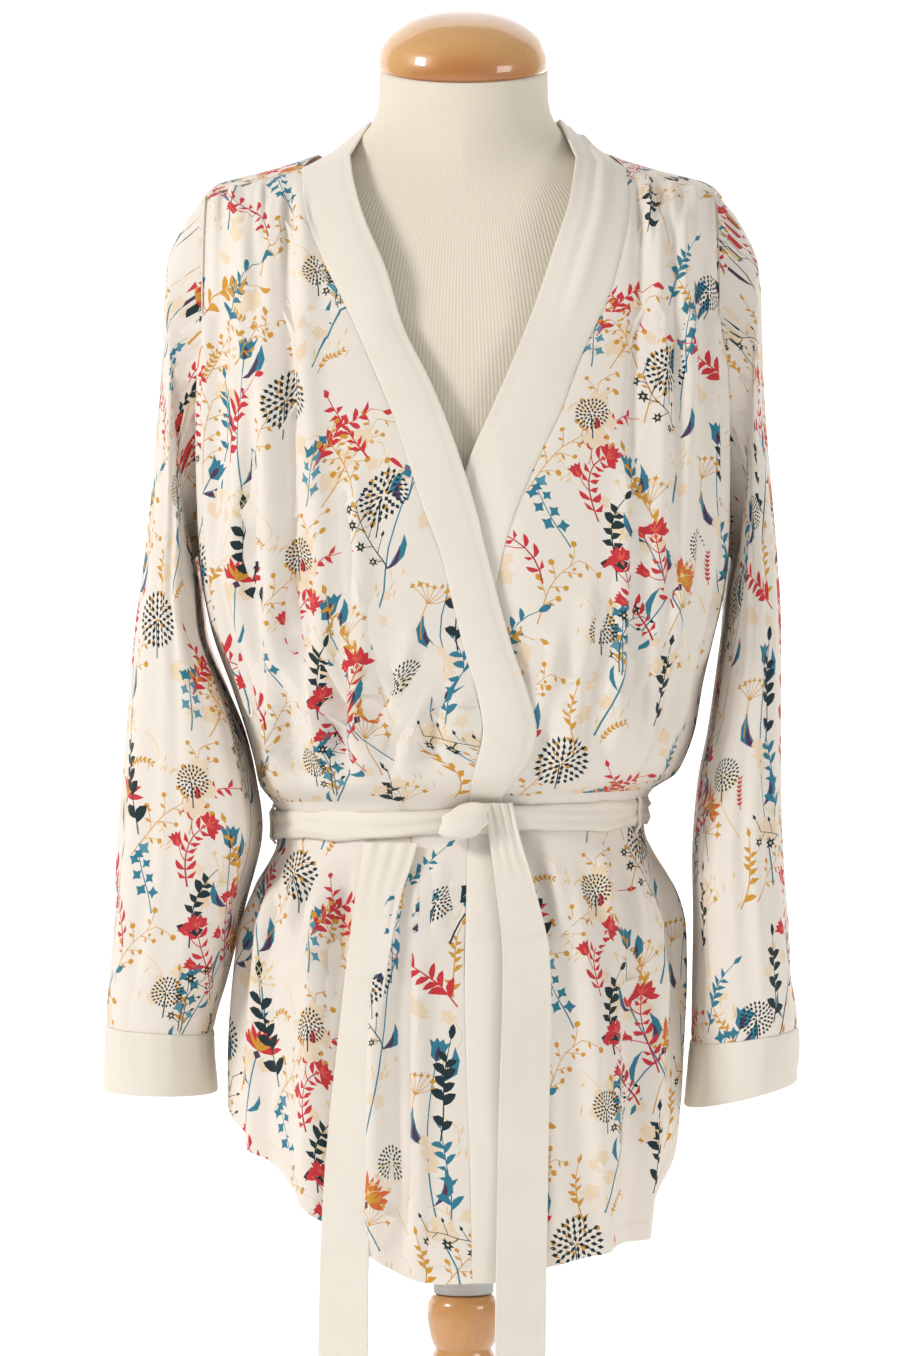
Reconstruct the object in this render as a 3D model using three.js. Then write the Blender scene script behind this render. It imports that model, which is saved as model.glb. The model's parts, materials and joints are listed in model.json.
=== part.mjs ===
// A short wrap kimono on its limbless dress form, in millimetres, +Z up, the front facing -Y.
// The origin is the middle of the foot's underside. Left and right are the viewer's.
import * as THREE from 'three';

// Driving dimensions
const CLOTH = 1.6; // wall of the printed crepe
const TRIM = 2.0; // wall of the doubled ivory crepe
const SEAM = 0.3; // clear space between two pieces at a seam
const CAP_Z = 1345; // below this the torso is level sections, above it the cloth curves to the ridge
const RIDGE_Y = 8; // the shoulder ridge lies this far behind the middle
const FORWARD = THREE.MathUtils.degToRad(66); // the shoulder seam's place on the arc up to the ridge
const UNDERARM_Z = 1190;
const ARMHOLE = { centreZ: 1330, half: 57 };
const NECK_SEAM = { side: 98, back: 76 }; // the back panel's neckline, in plan from the ridge
const NECK_EDGE = { side: 66, back: 57 }; // the neckband's free edge, in plan from the ridge
const UNDERLAP = 5; // the left front lies this much deeper where the right front covers it
const BELT = { z: 1009, height: 19, thick: 2.4, clear: 1.3, tilt: 5 };
const WAIST_SPAN = 70; // the belt's tilt fades out over this height

const IVORY = { color: 0xf0e8dc, roughness: 0.85 };
const PRINT = { color: 0xe9ddd2, roughness: 0.85 };
const JERSEY = { color: 0xe6dcc8, roughness: 0.9 };
const WOOD = { color: 0xd9a765, roughness: 0.3 };
const METAL = { color: 0x9a9a98, roughness: 0.4, metalness: 0.8 };

function table(columns, rows) {
  return rows.map((row) => Object.fromEntries(columns.map((name, i) => [name, row[i]])));
}

// The cloth's outside, section by section: half widths, depths and how square a section is
const TORSO = table(['z', 'left', 'right', 'front', 'back', 'square'], [
  [660, 150, 126, 124, 122, 2.4],
  [700, 151, 129, 125, 123, 2.4],
  [760, 153, 136, 125, 123, 2.4],
  [810, 155, 142, 124, 121, 2.4],
  [860, 155, 145, 122, 118, 2.4],
  [911, 151, 147, 117, 113, 2.4],
  [960, 144, 143, 110, 104, 2.4],
  [984, 132, 129, 102, 92, 2.4],
  [994, 128, 124, 99, 88, 2.4],
  [1020, 128, 124, 99, 88, 2.4],
  [1027, 133, 133, 108, 94, 2.5],
  [1034, 139, 144, 118, 100, 2.6],
  [1050, 143, 152, 123, 103, 2.7],
  [1070, 149, 158, 124, 102, 2.8],
  [1100, 159, 163, 124, 98, 2.9],
  [1130, 170, 170, 124, 95, 3.0],
  [1160, 177, 177, 125, 94, 3.0],
  [1190, 181, 181, 126, 94, 3.0],
  [1230, 183, 182, 128, 95, 3.0],
  [1275, 184, 182, 124, 97, 3.0],
  [1310, 184, 182, 115, 98, 3.0],
  [1345, 184, 182, 104, 98, 3.0],
]);

// Height of the shoulder ridge at a distance from the middle
const RIDGE = table(['x', 'z'], [
  [0, 1512], [30, 1506], [60, 1492], [80, 1476], [98, 1464], [131, 1453], [166, 1444], [184, 1436],
]);

// Height of the shirt-tail hem round the body, in degrees from the middle of the front
const HEM = table(['turn', 'z'], [
  [-180, 708], [-150, 722], [-130, 752], [-110, 802], [-90, 836],
  [-72, 800], [-52, 780], [-36, 749], [-22, 729], [-10, 709], [0, 706],
  [26, 718], [50, 728], [66, 738], [78, 788], [90, 840],
  [110, 804], [130, 752], [150, 722], [180, 708],
]);

// Each front's edges by the height of its band seam: across is towards the other front
const TOP_BAND = table(['z', 'seam', 'edge', 'edgeZ'], [
  [690, -6, -43, 690], [800, -3, -41, 800], [900, 0, -39, 900], [985, -2, -36, 985],
  [1005, -3, -27, 1005], [1023, -3, -26, 1025], [1045, -7, -43, 1050], [1068, -12, -48, 1070],
  [1090, -9, -43, 1092], [1130, 2, -30, 1131], [1186, 16, -14, 1190], [1215, 27, -8, 1215],
  [1269, 44, 7, 1262], [1310, 61, 22, 1300], [1347, 77, 40, 1337], [1382, 94, 52, 1377],
  [1409, 104, 66, 1410], [1430, 108, 74, 1438], [1450, 110, 77, 1458],
]);
const UNDER_BAND = table(['z', 'seam', 'edge', 'edgeZ'], [
  [676, 22, -14, 676], [800, 10, -26, 800], [900, 2, -34, 900], [980, -5, -42, 980],
  [1015, -7, -44, 1015], [1050, -5, -43, 1050], [1090, 3, -36, 1092], [1130, 11, -26, 1132],
  [1168, 22, -16, 1170], [1206, 31, -9, 1208], [1252, 50, 4, 1250], [1279, 63, 16, 1277],
  [1316, 77, 32, 1314], [1353, 94, 47, 1352], [1391, 105, 60, 1391], [1419, 110, 70, 1422],
  [1450, 110, 76, 1456],
]);

// The largest soft ridges: place round the body and half width in degrees, height, and reach
const FOLDS = table(['turn', 'wide', 'high', 'top', 'bottom'], [
  [-70, 5, 3, 1430, 1120], [-62, 6, 5, 1425, 1060], [-47, 6, 4, 1430, 1190], [-50, 8, 6, 1240, 1030],
  [-34, 7, 5, 1330, 1035], [-20, 6, 5, 1160, 1030], [70, 5, 3, 1430, 1100], [60, 6, 4, 1430, 1060],
  [47, 6, 5, 1420, 1150], [44, 8, 6, 1180, 1032], [30, 7, 5, 1130, 1032], [17, 6, 4, 1100, 1030],
  [-78, 8, 6, 975, 640], [-60, 8, 7, 985, 640], [-38, 7, 5, 985, 640], [-18, 6, 5, 985, 640],
  [40, 7, 5, 980, 640], [58, 8, 8, 985, 640], [77, 7, 6, 985, 640],
  [-105, 8, 5, 1400, 1040], [-122, 7, 4, 1390, 1150], [-135, 8, 6, 1300, 1036],
  [-158, 9, 5, 1330, 1040], [180, 8, 5, 1240, 1034], [160, 9, 6, 1350, 1036],
  [140, 8, 5, 1280, 1040], [122, 7, 4, 1400, 1100], [106, 8, 5, 1400, 1036],
  [-102, 8, 6, 980, 640], [-124, 8, 7, 985, 640], [-146, 8, 6, 985, 640], [-168, 8, 7, 985, 640],
  [172, 8, 6, 985, 640], [150, 8, 7, 985, 640], [127, 8, 6, 985, 640], [104, 8, 7, 980, 640],
]);

// Each sleeve hangs between an outer and an inner line; deep is half its front-to-back depth
const SLEEVE_COLUMNS = ['out', 'outZ', 'in', 'inZ', 'deep', 'midY'];
const LEFT_SLEEVE = table(SLEEVE_COLUMNS, [
  [194, 1421, 189, 1189, 50, 0], [202, 1390, 186, 1182, 61, 2], [205, 1350, 184, 1174, 67, 4],
  [207, 1297, 182, 1163, 72, 5], [209, 1245, 180, 1148, 77, 5], [214, 1196, 176, 1125, 81, 4],
  [221, 1147, 168, 1097, 84, 3], [226, 1097, 157, 1067, 86, 2], [230, 1046, 149, 1034, 86, 0],
  [234, 992, 148, 996, 84, -2], [238, 942, 157, 950, 78, -3], [242, 902, 167, 901, 70, -4],
  [244, 868, 171, 863, 61, -5], [245, 824, 169, 822, 55, -6],
]);
const RIGHT_SLEEVE = table(SLEEVE_COLUMNS, [
  [193, 1421, 189, 1189, 50, 0], [200, 1388, 186, 1182, 61, 2], [201, 1346, 184, 1174, 67, 4],
  [203, 1296, 182, 1163, 72, 5], [207, 1243, 180, 1148, 77, 5], [211, 1196, 177, 1125, 80, 4],
  [214, 1147, 173, 1098, 82, 2], [214, 1096, 168, 1066, 84, 0], [214, 1045, 161, 1032, 84, -3],
  [215, 991, 157, 987, 82, -6], [219, 938, 157, 937, 77, -9], [223, 897, 156, 893, 70, -12],
  [226, 867, 155, 857, 61, -14], [226, 831, 151, 813, 55, -16],
]);
// Long folds of a sleeve: place round it in degrees from the outer line, forwards first
const SLEEVE_FOLDS = table(['turn', 'wide', 'high'], [
  [42, 22, 5], [88, 20, -4], [128, 22, 5], [215, 24, 4], [262, 20, -4], [312, 24, 5],
]);

// The stand, from the form's lower edge to the neck
const FORM = table(['z', 'half', 'front', 'back', 'square'], [
  [818, 129, 100, 104, 2.2], [824, 134, 104, 108, 2.2], [860, 137, 108, 108, 2.2],
  [911, 135, 104, 102, 2.2], [950, 128, 98, 93, 2.2], [985, 117, 90, 82, 2.2],
  [1010, 114, 86, 79, 2.2], [1035, 117, 89, 80, 2.2], [1070, 126, 96, 84, 2.2],
  [1110, 137, 104, 86, 2.3], [1160, 146, 110, 86, 2.4], [1210, 153, 114, 87, 2.4],
  [1250, 158, 116, 89, 2.4], [1290, 163, 109, 91, 2.5], [1320, 167, 101, 92, 2.6],
  [1345, 169, 94, 92, 2.6], [1375, 169, 85, 90, 2.5], [1400, 167, 77, 86, 2.3],
  [1420, 164, 70, 80, 2.1], [1432, 160, 66, 75, 1.8], [1440, 152, 63, 71, 1.6],
  [1448, 129, 61, 68, 1.5], [1456, 99, 59, 65, 1.5], [1466, 80, 58, 62, 1.6],
  [1478, 67, 57.5, 60, 1.8], [1490, 60, 57, 58, 2.0], [1500, 58, 57, 57, 2.0],
]);
const NECK = { radius: 57.5, topZ: 1522, lean: THREE.MathUtils.degToRad(18), dome: 38 };
const STEM = { collar: 20.5, collarZ: 683, bead: 25, column: 21.5, groove: 19, grooveZ: 645 };
const FOOT = { radius: 180, top: 34, underside: 172 };

// The belt's two free ends, by height: the middle, the width, and how far proud of the skirt
const END_ONE = table(['z', 'x', 'wide', 'proud'], [
  [545, -80, 33, 4], [660, -80, 33, 4], [775, -77, 31, 4], [892, -67, 27, 4], [960, -57, 30, 3.2],
  [985, -51, 34, 2.6], [995, -49, 35, 2.6],
]);
const END_TWO = table(['z', 'x', 'wide', 'proud'], [
  [528, 37, 33, 4], [660, 37, 33, 4], [800, 39, 33, 4], [919, 41, 31, 4.5], [970, 33, 25, 6],
  [1000, 26, 20, 6.2], [1021, 22, 18, 6.2],
]);
const KNOT = { x: 0, wide: 13, deep: 7, high: 12 };
const LOOPS = table(['name', 'turn'], [['right', -82], ['left', 66]]);
const LOOP = { wide: 5, reach: 13.5, shoulder: 11 };

// Smooth value of one column of a table, at a place between its rows
function along(rows, key, column, at) {
  const last = rows.length - 1;
  if (at <= rows[0][key]) return rows[0][column];
  if (at >= rows[last][key]) return rows[last][column];
  const i = rows.findIndex((row) => row[key] > at) - 1;
  const slope = (k) => {
    const a = Math.max(k - 1, 0);
    const b = Math.min(k + 1, last);
    return (rows[b][column] - rows[a][column]) / (rows[b][key] - rows[a][key]);
  };
  const span = rows[i + 1][key] - rows[i][key];
  const t = (at - rows[i][key]) / span;
  const h = t * t * (3 - 2 * t);
  return rows[i][column] * (1 - h) + rows[i + 1][column] * h
    + span * t * (1 - t) * ((1 - t) * slope(i) - t * slope(i + 1));
}

const mix = THREE.MathUtils.lerp;
const smooth = (t) => THREE.MathUtils.smoothstep(t, 0, 1);
const power = (value, exponent) => Math.sign(value) * Math.abs(value) ** exponent;
const degrees = THREE.MathUtils.radToDeg;
const radians = THREE.MathUtils.degToRad;
const point = (x, y, z) => new THREE.Vector3(x, y, z);

// How far the soft ridges lift the cloth at a place on the body
function lift(turn, z) {
  let out = 0;
  for (const fold of FOLDS) {
    const away = Math.abs(((degrees(turn) - fold.turn + 540) % 360) - 180) / fold.wide;
    if (away >= 1 || z > fold.top || z < fold.bottom) continue;
    const ends = smooth((fold.top - z) / 50) * smooth((z - fold.bottom) / 25);
    out += fold.high * ends * (1 + Math.cos(Math.PI * away)) / 2;
  }
  return out;
}

// A point of the cloth's outside below the cap; out moves it away from the body
function skin(turn, z, out = 0) {
  const s = Math.sin(turn);
  const c = Math.cos(turn);
  const flat = 2 / along(TORSO, 'z', 'square', z);
  const more = out + lift(turn, z);
  const half = along(TORSO, 'z', s < 0 ? 'left' : 'right', z) + more;
  const deep = along(TORSO, 'z', c > 0 ? 'front' : 'back', z) + more;
  const x = power(s, flat) * half;
  const near = Math.max(0, 1 - Math.abs(z - BELT.z) / WAIST_SPAN);
  return point(x, -power(c, flat) * deep, z + BELT.tilt * smooth(near) * x / 130);
}

// The turn at which a section has a given x, on the front
function turnAt(x, z) {
  const half = along(TORSO, 'z', x < 0 ? 'left' : 'right', z);
  const part = Math.min(1, Math.abs(x) / half) ** (along(TORSO, 'z', 'square', z) / 2);
  return Math.sign(x) * Math.asin(part);
}

// A point of the cap over the shoulder: rise is 0 at the front, a half turn at the back
function cap(x, rise, out = 0) {
  const turn = rise < Math.PI / 2 ? turnAt(x, CAP_Z) : Math.PI - turnAt(x, CAP_Z);
  const low = skin(turn, CAP_Z, out);
  const ridge = along(RIDGE, 'x', 'z', Math.abs(x)) + out;
  const y = RIDGE_Y + (low.y - RIDGE_Y) * Math.abs(Math.cos(rise));
  return point(x, y, CAP_Z + (ridge - CAP_Z) * Math.sin(rise));
}

// The rise at which the front of the cap reaches a height
function riseAt(x, z) {
  const ridge = along(RIDGE, 'x', 'z', Math.abs(x));
  return Math.asin(Math.min(1, Math.max(0, (z - CAP_Z) / (ridge - CAP_Z))));
}

function onFront(x, z, out = 0) {
  return z > CAP_Z ? cap(x, riseAt(x, z), out) : skin(turnAt(x, z), z, out);
}

// A point of the cap above a place in plan, behind the ridge
function onBackCap(x, y, out = 0) {
  const low = cap(x, Math.PI, out);
  return cap(x, Math.PI - Math.acos((y - RIDGE_Y) / (low.y - RIDGE_Y)), out);
}

// Outward normals of a grid of points; closed grids wrap round
function normalsOf(grid, inside, closed) {
  const wide = grid[0].length;
  const pick = (r, c) => grid[r][closed ? (c + wide) % wide : THREE.MathUtils.clamp(c, 0, wide - 1)];
  let sum = 0;
  const normals = grid.map((row, r) => row.map((p, c) => {
    const across = pick(r, c + 1).clone().sub(pick(r, c - 1));
    const up = pick(Math.min(r + 1, grid.length - 1), c).clone().sub(pick(Math.max(r - 1, 0), c));
    const normal = across.cross(up).normalize();
    sum += normal.dot(p.clone().sub(inside));
    return normal;
  }));
  if (sum < 0) normals.flat().forEach((normal) => normal.negate());
  return normals;
}

// Moves one edge of a grid back towards its neighbours, for the clear space at a seam
function pullBack(grid, edge, distance) {
  const last = grid.length - 1;
  const end = grid[0].length - 1;
  const pairs = {
    first: grid[0].map((p, c) => [p, grid[1][c]]),
    last: grid[last].map((p, c) => [p, grid[last - 1][c]]),
    start: grid.map((row) => [row[0], row[1]]),
    end: grid.map((row) => [row[end], row[end - 1]]),
  };
  for (const [p, next] of pairs[edge]) {
    p.add(next.clone().sub(p).setLength(distance));
  }
}

// Makes the normals of two edges alike, so that the walls meet face to face
function share(normalsA, normalsB) {
  normalsA.forEach((normal, i) => {
    normal.add(normalsB[i]).normalize();
    normalsB[i].copy(normal);
  });
}

function finish(positions, indices, look, name) {
  let volume = 0;
  const at = (i) => point(...positions.slice(3 * i, 3 * i + 3));
  for (let i = 0; i < indices.length; i += 3) {
    volume += at(indices[i]).dot(at(indices[i + 1]).cross(at(indices[i + 2])));
  }
  if (volume < 0) indices.reverse();
  const geometry = new THREE.BufferGeometry();
  geometry.setAttribute('position', new THREE.Float32BufferAttribute(positions, 3));
  geometry.setIndex(indices);
  geometry.computeVertexNormals();
  const mesh = new THREE.Mesh(geometry, new THREE.MeshStandardMaterial(look));
  mesh.name = name;
  return mesh;
}

// A wall of cloth through a grid of outer points, thickened along its normals
function wall(name, grid, normals, thick, look, closed = false) {
  const high = grid.length;
  const wide = grid[0].length;
  const inner = grid.map((row, r) => row.map((p, c) => p.clone().addScaledVector(normals[r][c], -thick)));
  const positions = [...grid.flat(), ...inner.flat()].flatMap((p) => [p.x, p.y, p.z]);
  const indices = [];
  const id = (r, c, side) => side * high * wide + r * wide + (c % wide);
  const quad = (a, b, c, d) => indices.push(a, b, c, a, c, d);
  const spans = closed ? wide : wide - 1;
  for (let r = 0; r < high - 1; r += 1) {
    for (let c = 0; c < spans; c += 1) {
      quad(id(r, c, 0), id(r, c + 1, 0), id(r + 1, c + 1, 0), id(r + 1, c, 0));
      quad(id(r + 1, c, 1), id(r + 1, c + 1, 1), id(r, c + 1, 1), id(r, c, 1));
    }
  }
  for (let c = 0; c < spans; c += 1) {
    const top = high - 1;
    quad(id(0, c, 1), id(0, c + 1, 1), id(0, c + 1, 0), id(0, c, 0));
    quad(id(top, c, 0), id(top, c + 1, 0), id(top, c + 1, 1), id(top, c, 1));
  }
  for (let r = 0; r < high - 1 && !closed; r += 1) {
    const end = wide - 1;
    quad(id(r, 0, 0), id(r + 1, 0, 0), id(r + 1, 0, 1), id(r, 0, 1));
    quad(id(r, end, 1), id(r + 1, end, 1), id(r + 1, end, 0), id(r, end, 0));
  }
  return finish(positions, indices, look, name);
}

// A solid through level rings, closed at both ends
function stack(name, rings, look) {
  const wide = rings[0].length;
  const middle = (ring) => ring.reduce((sum, p) => sum.add(p), point(0, 0, 0)).divideScalar(wide);
  const all = [...rings.flat(), middle(rings[0]), middle(rings.at(-1))];
  const positions = all.flatMap((p) => [p.x, p.y, p.z]);
  const indices = [];
  const bottom = rings.length * wide;
  for (let c = 0; c < wide; c += 1) {
    const next = (c + 1) % wide;
    indices.push(bottom, next, c);
    indices.push(bottom + 1, bottom - wide + c, bottom - wide + next);
    for (let r = 0; r < rings.length - 1; r += 1) {
      const a = r * wide;
      indices.push(a + c, a + next, a + wide + next, a + c, a + wide + next, a + wide + c);
    }
  }
  return finish(positions, indices, look, name);
}

// A turned solid: pairs of radius and height, from the axis round to the axis
function turned(name, profile, look, segments = 28) {
  const outline = profile.map(([radius, z]) => new THREE.Vector2(radius, z));
  const geometry = new THREE.LatheGeometry(outline, segments).rotateX(Math.PI / 2);
  const mesh = new THREE.Mesh(geometry, new THREE.MeshStandardMaterial(look));
  mesh.name = name;
  return mesh;
}

// Rows of the torso panels: level ones down to the belt, then parts of the way to the hem
const LEVELS = [1345, 1310, 1275, 1240, 1205, 1190, 1160, 1130, 1100, 1072, 1050, 1034, 1027, 1020, 1008, 994];
const SKIRT_PARTS = [0.05, 0.17, 0.34, 0.52, 0.76, 1];
const FRONT_CAP = [0.2, 0.4, 0.6, 0.8, 1];
const BACK_CAP = [18, 36, 54, 72, 90, 102, 114].map((angle) => radians(180 - angle));
const FRONT_COLUMNS = 12;
const BACK_X = [165, 146, 128, 111, 98, 85, 66, 44, 22, 0];

const rowHeight = (row, turn) => {
  if (row < LEVELS.length) return LEVELS[row];
  const hem = along(HEM, 'turn', 'z', degrees(turn));
  return mix(LEVELS.at(-1), hem, SKIRT_PARTS[row - LEVELS.length]);
};

// Half the armhole's opening at a height
function armhole(z) {
  if (z <= UNDERARM_Z) return 0;
  const drop = Math.max(0, ARMHOLE.centreZ - z) / (ARMHOLE.centreZ - UNDERARM_Z);
  return ARMHOLE.half * Math.sqrt(Math.max(0, 1 - drop * drop));
}

// The turn of a panel's side edge: the side seam, or the armhole above the underarm
function sideTurn(z, front) {
  const deep = along(TORSO, 'z', front ? 'front' : 'back', z);
  const part = (armhole(z) / deep) ** (along(TORSO, 'z', 'square', z) / 2);
  return front ? Math.acos(part) : Math.PI - Math.acos(part);
}

// One front, from the hem up to the forward shoulder seam, and from its band seam to the side
function frontGrid(side, band, sunk) {
  const rows = [];
  const total = LEVELS.length + SKIRT_PARTS.length;
  for (let row = total - 1; row >= 0; row -= 1) {
    const line = [];
    for (let c = 0; c <= FRONT_COLUMNS; c += 1) {
      let z = rowHeight(row, 0);
      let turn = 0;
      for (let pass = 0; pass < 4; pass += 1) {
        const start = turnAt(side * along(band, 'z', 'seam', z), z);
        turn = mix(start, side * sideTurn(z, true), c / FRONT_COLUMNS);
        z = rowHeight(row, turn);
      }
      line.push(skin(turn, z, -sunk(skin(turn, z).x, z)));
    }
    rows.push(line);
  }
  const low = rows.at(-1);
  const parts = low.map((p) => (p.x - low[0].x) / (low.at(-1).x - low[0].x));
  for (const step of FRONT_CAP) {
    let seam = low[0].x;
    for (let pass = 0; pass < 4; pass += 1) {
      seam = side * along(band, 'z', 'seam', cap(seam, step * FORWARD).z);
    }
    rows.push(parts.map((part) => cap(mix(seam, low.at(-1).x, part), step * FORWARD)));
  }
  return rows;
}

// The far end of a back column over the cap: the neckline inside, the forward seam outside
function capEnd(x) {
  const seam = Math.abs(TOP_BAND.at(-1).seam);
  if (Math.abs(x) > seam) return FORWARD;
  if (Math.abs(x) > NECK_SEAM.side) {
    return mix(Math.PI / 2, FORWARD, (Math.abs(x) - NECK_SEAM.side) / (seam - NECK_SEAM.side));
  }
  const y = NECK_SEAM.back * Math.sqrt(1 - (x / NECK_SEAM.side) ** 2);
  return Math.PI - Math.acos(y / (cap(x, Math.PI).y - RIDGE_Y));
}

// The back, from the hem over the shoulders, and from the left side to the right side
function backGrid() {
  const columns = [...BACK_X, ...BACK_X.slice(0, -1).reverse().map((x) => -x)].map((x) => -x);
  const turnsAtCap = columns.map((x) => turnAt(x, CAP_Z));
  const edgeAtCap = Math.PI - sideTurn(CAP_Z, false);
  const parts = [-1, ...turnsAtCap.map((turn) => turn / edgeAtCap), 1];
  const rows = [];
  for (let row = LEVELS.length + SKIRT_PARTS.length - 1; row >= 0; row -= 1) {
    rows.push(parts.map((part) => {
      let z = rowHeight(row, Math.PI);
      let turn = 0;
      for (let pass = 0; pass < 4; pass += 1) {
        turn = Math.PI - part * (Math.PI - sideTurn(z, false));
        z = rowHeight(row, turn > Math.PI ? turn - 2 * Math.PI : turn);
      }
      return skin(turn, z);
    }));
  }
  const low = rows.at(-1);
  for (const angle of BACK_CAP) {
    const part = (Math.PI - angle) / (Math.PI - FORWARD);
    rows.push(low.map((p) => cap(p.x, Math.PI - part * (Math.PI - capEnd(p.x)))));
  }
  return rows;
}

// A neckband: it follows a front's edge up to the shoulder, then goes round the neck
function bandGrid(side, band, sunk, front, back) {
  const steps = [0, 1 / 3, 2 / 3, 1];
  const rows = front.map((line) => {
    const seam = line[0];
    const z = seam.z - (seam.z < UNDERARM_Z ? tiltAt(seam) : 0);
    const edge = side * along(band, 'z', 'edge', z);
    const edgeZ = along(band, 'z', 'edgeZ', z);
    return steps.map((step) => {
      const x = mix(seam.x, edge, step);
      const height = mix(z, edgeZ, step);
      return step === 0 ? seam.clone() : onFront(x, height, -sunk(x, height));
    });
  });
  const top = back.at(-1);
  for (const column of neckColumns(side, top)) {
    const seam = top[column];
    const round = Math.acos(Math.min(1, Math.abs(seam.x) / NECK_SEAM.side));
    const x = side * NECK_EDGE.side * Math.cos(round);
    const y = RIDGE_Y + NECK_EDGE.back * Math.sin(round);
    rows.push(steps.map((step) => (step === 0 ? seam.clone()
      : onBackCap(mix(seam.x, x, step), Math.max(RIDGE_Y, mix(seam.y, y, step))))));
  }
  return rows;
}

// The back's columns whose ends make one half of its neckline, from the ridge to the middle
function neckColumns(side, top) {
  const columns = top.map((p, c) => c);
  const inside = columns.filter((c) => side * top[c].x > -1 && Math.abs(top[c].x) < NECK_SEAM.side + 1);
  return inside.sort((a, b) => Math.abs(top[b].x) - Math.abs(top[a].x));
}

function tiltAt(p) {
  const near = Math.max(0, 1 - Math.abs(p.z - BELT.z) / WAIST_SPAN);
  return BELT.tilt * smooth(near) * p.x / 130;
}

// The left front sinks under the right one where they cross
const noSink = () => 0;
const underSink = (x, z) => {
  const edge = -along(TOP_BAND, 'z', 'edge', z);
  return UNDERLAP * smooth((edge + 24 - x) / 20);
};

const garment = new THREE.Group();
const BODY_CORE = point(0, 0, 1200);

const rightFront = frontGrid(-1, TOP_BAND, noSink);
const leftFront = frontGrid(1, UNDER_BAND, underSink);
const back = backGrid();
const rightBand = bandGrid(-1, TOP_BAND, noSink, rightFront, back);
const leftBand = bandGrid(1, UNDER_BAND, underSink, leftFront, back);
const sheets = [rightFront, leftFront, back, rightBand, leftBand];
const [rightFrontOut, leftFrontOut, backOut, rightBandOut, leftBandOut] = sheets.map(
  (grid) => normalsOf(grid, BODY_CORE, false),
);

const firstColumn = (grid) => grid.map((row) => row[0]);
const lastColumn = (grid) => grid.map((row) => row.at(-1));
const levelRows = LEVELS.length + SKIRT_PARTS.length;
for (const [side, frontOut, backColumn, bandOut] of [
  [-1, rightFrontOut, firstColumn(backOut), rightBandOut],
  [1, leftFrontOut, lastColumn(backOut), leftBandOut],
]) {
  share(lastColumn(frontOut).slice(0, levelRows), backColumn.slice(0, levelRows));
  share(firstColumn(frontOut), firstColumn(bandOut).slice(0, frontOut.length));
  const neckline = neckColumns(side, back.at(-1)).map((column) => backOut.at(-1)[column]);
  share(neckline, firstColumn(bandOut).slice(frontOut.length));
}
share(rightBandOut.at(-1), leftBandOut.at(-1));

// The ring of armhole points, from the ridge forwards, down, and up the back, with its normals
function armholeRing(front, frontOut, backLine, backOutLine) {
  const frontTop = front.length - 1;
  const under = levelRows - 1 - LEVELS.indexOf(UNDERARM_Z);
  const ridge = levelRows - 1 + 5;
  const ring = [];
  const add = (p, normal) => ring.push({ seam: p, p: p.clone(), normal: normal.clone() });
  add(backLine[ridge], backOutLine[ridge]);
  add(backLine[ridge + 1], backOutLine[ridge + 1]);
  for (let row = frontTop; row >= under; row -= 1) {
    add(front[row].at(-1), frontOut[row].at(-1));
  }
  for (let row = under + 1; row < ridge; row += 1) {
    add(backLine[row], backOutLine[row]);
  }
  const lowest = Math.min(...ring.map((entry) => entry.p.z));
  ring.forEach((entry, i) => {
    const next = ring[(i + 1) % ring.length].seam;
    const before = ring.at(i - 1).seam;
    const inwards = next.clone().sub(before).cross(entry.normal).normalize();
    const middle = point(1.5 * entry.p.x, 0, (ARMHOLE.centreZ + UNDERARM_Z) / 2);
    if (inwards.dot(middle.sub(entry.seam)) < 0) inwards.negate();
    entry.p.addScaledVector(inwards, SEAM * 2.5);
    const turned = smooth((UNDERARM_Z + 60 - entry.seam.z) / (UNDERARM_Z + 60 - lowest));
    entry.normal.multiplyScalar(1 - turned).addScaledVector(inwards, -turned).normalize();
  });
  return ring;
}

// A sleeve and its cuff, as one grid of rings from the armhole to the cuff's edge
function sleeveGrid(side, rows, ring) {
  const heights = ring.map((entry) => entry.p.z);
  const under = heights.indexOf(Math.min(...heights));
  const [low, high] = [heights[under], Math.max(...heights)];
  const angles = heights.map((z, i) => {
    const angle = Math.acos((2 * z - low - high) / (high - low));
    return i <= under ? angle : 2 * Math.PI - angle;
  });
  const rings = [ring.map((entry) => entry.p.clone())];
  rows.forEach((row, i) => {
    const away = rows.length - 1 - i;
    rings.push(angles.map((angle) => {
      const c = power(Math.cos(angle), 0.9);
      const s = power(Math.sin(angle), 0.9);
      let fold = 0;
      for (const crease of SLEEVE_FOLDS) {
        const off = Math.abs(degrees(angle) - crease.turn) / crease.wide;
        if (off < 1) fold += crease.high * (1 + Math.cos(Math.PI * off)) / 2;
      }
      const swell = 1 + (fold / 60) * smooth(i / 5) * smooth(away / 4);
      const x = mix(row.in, row.out, (1 + c * swell) / 2);
      const z = mix(row.inZ, row.outZ, (1 + c * swell) / 2);
      return point(side * x, row.midY - s * row.deep * swell, z);
    }));
  });
  return rings;
}

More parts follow.
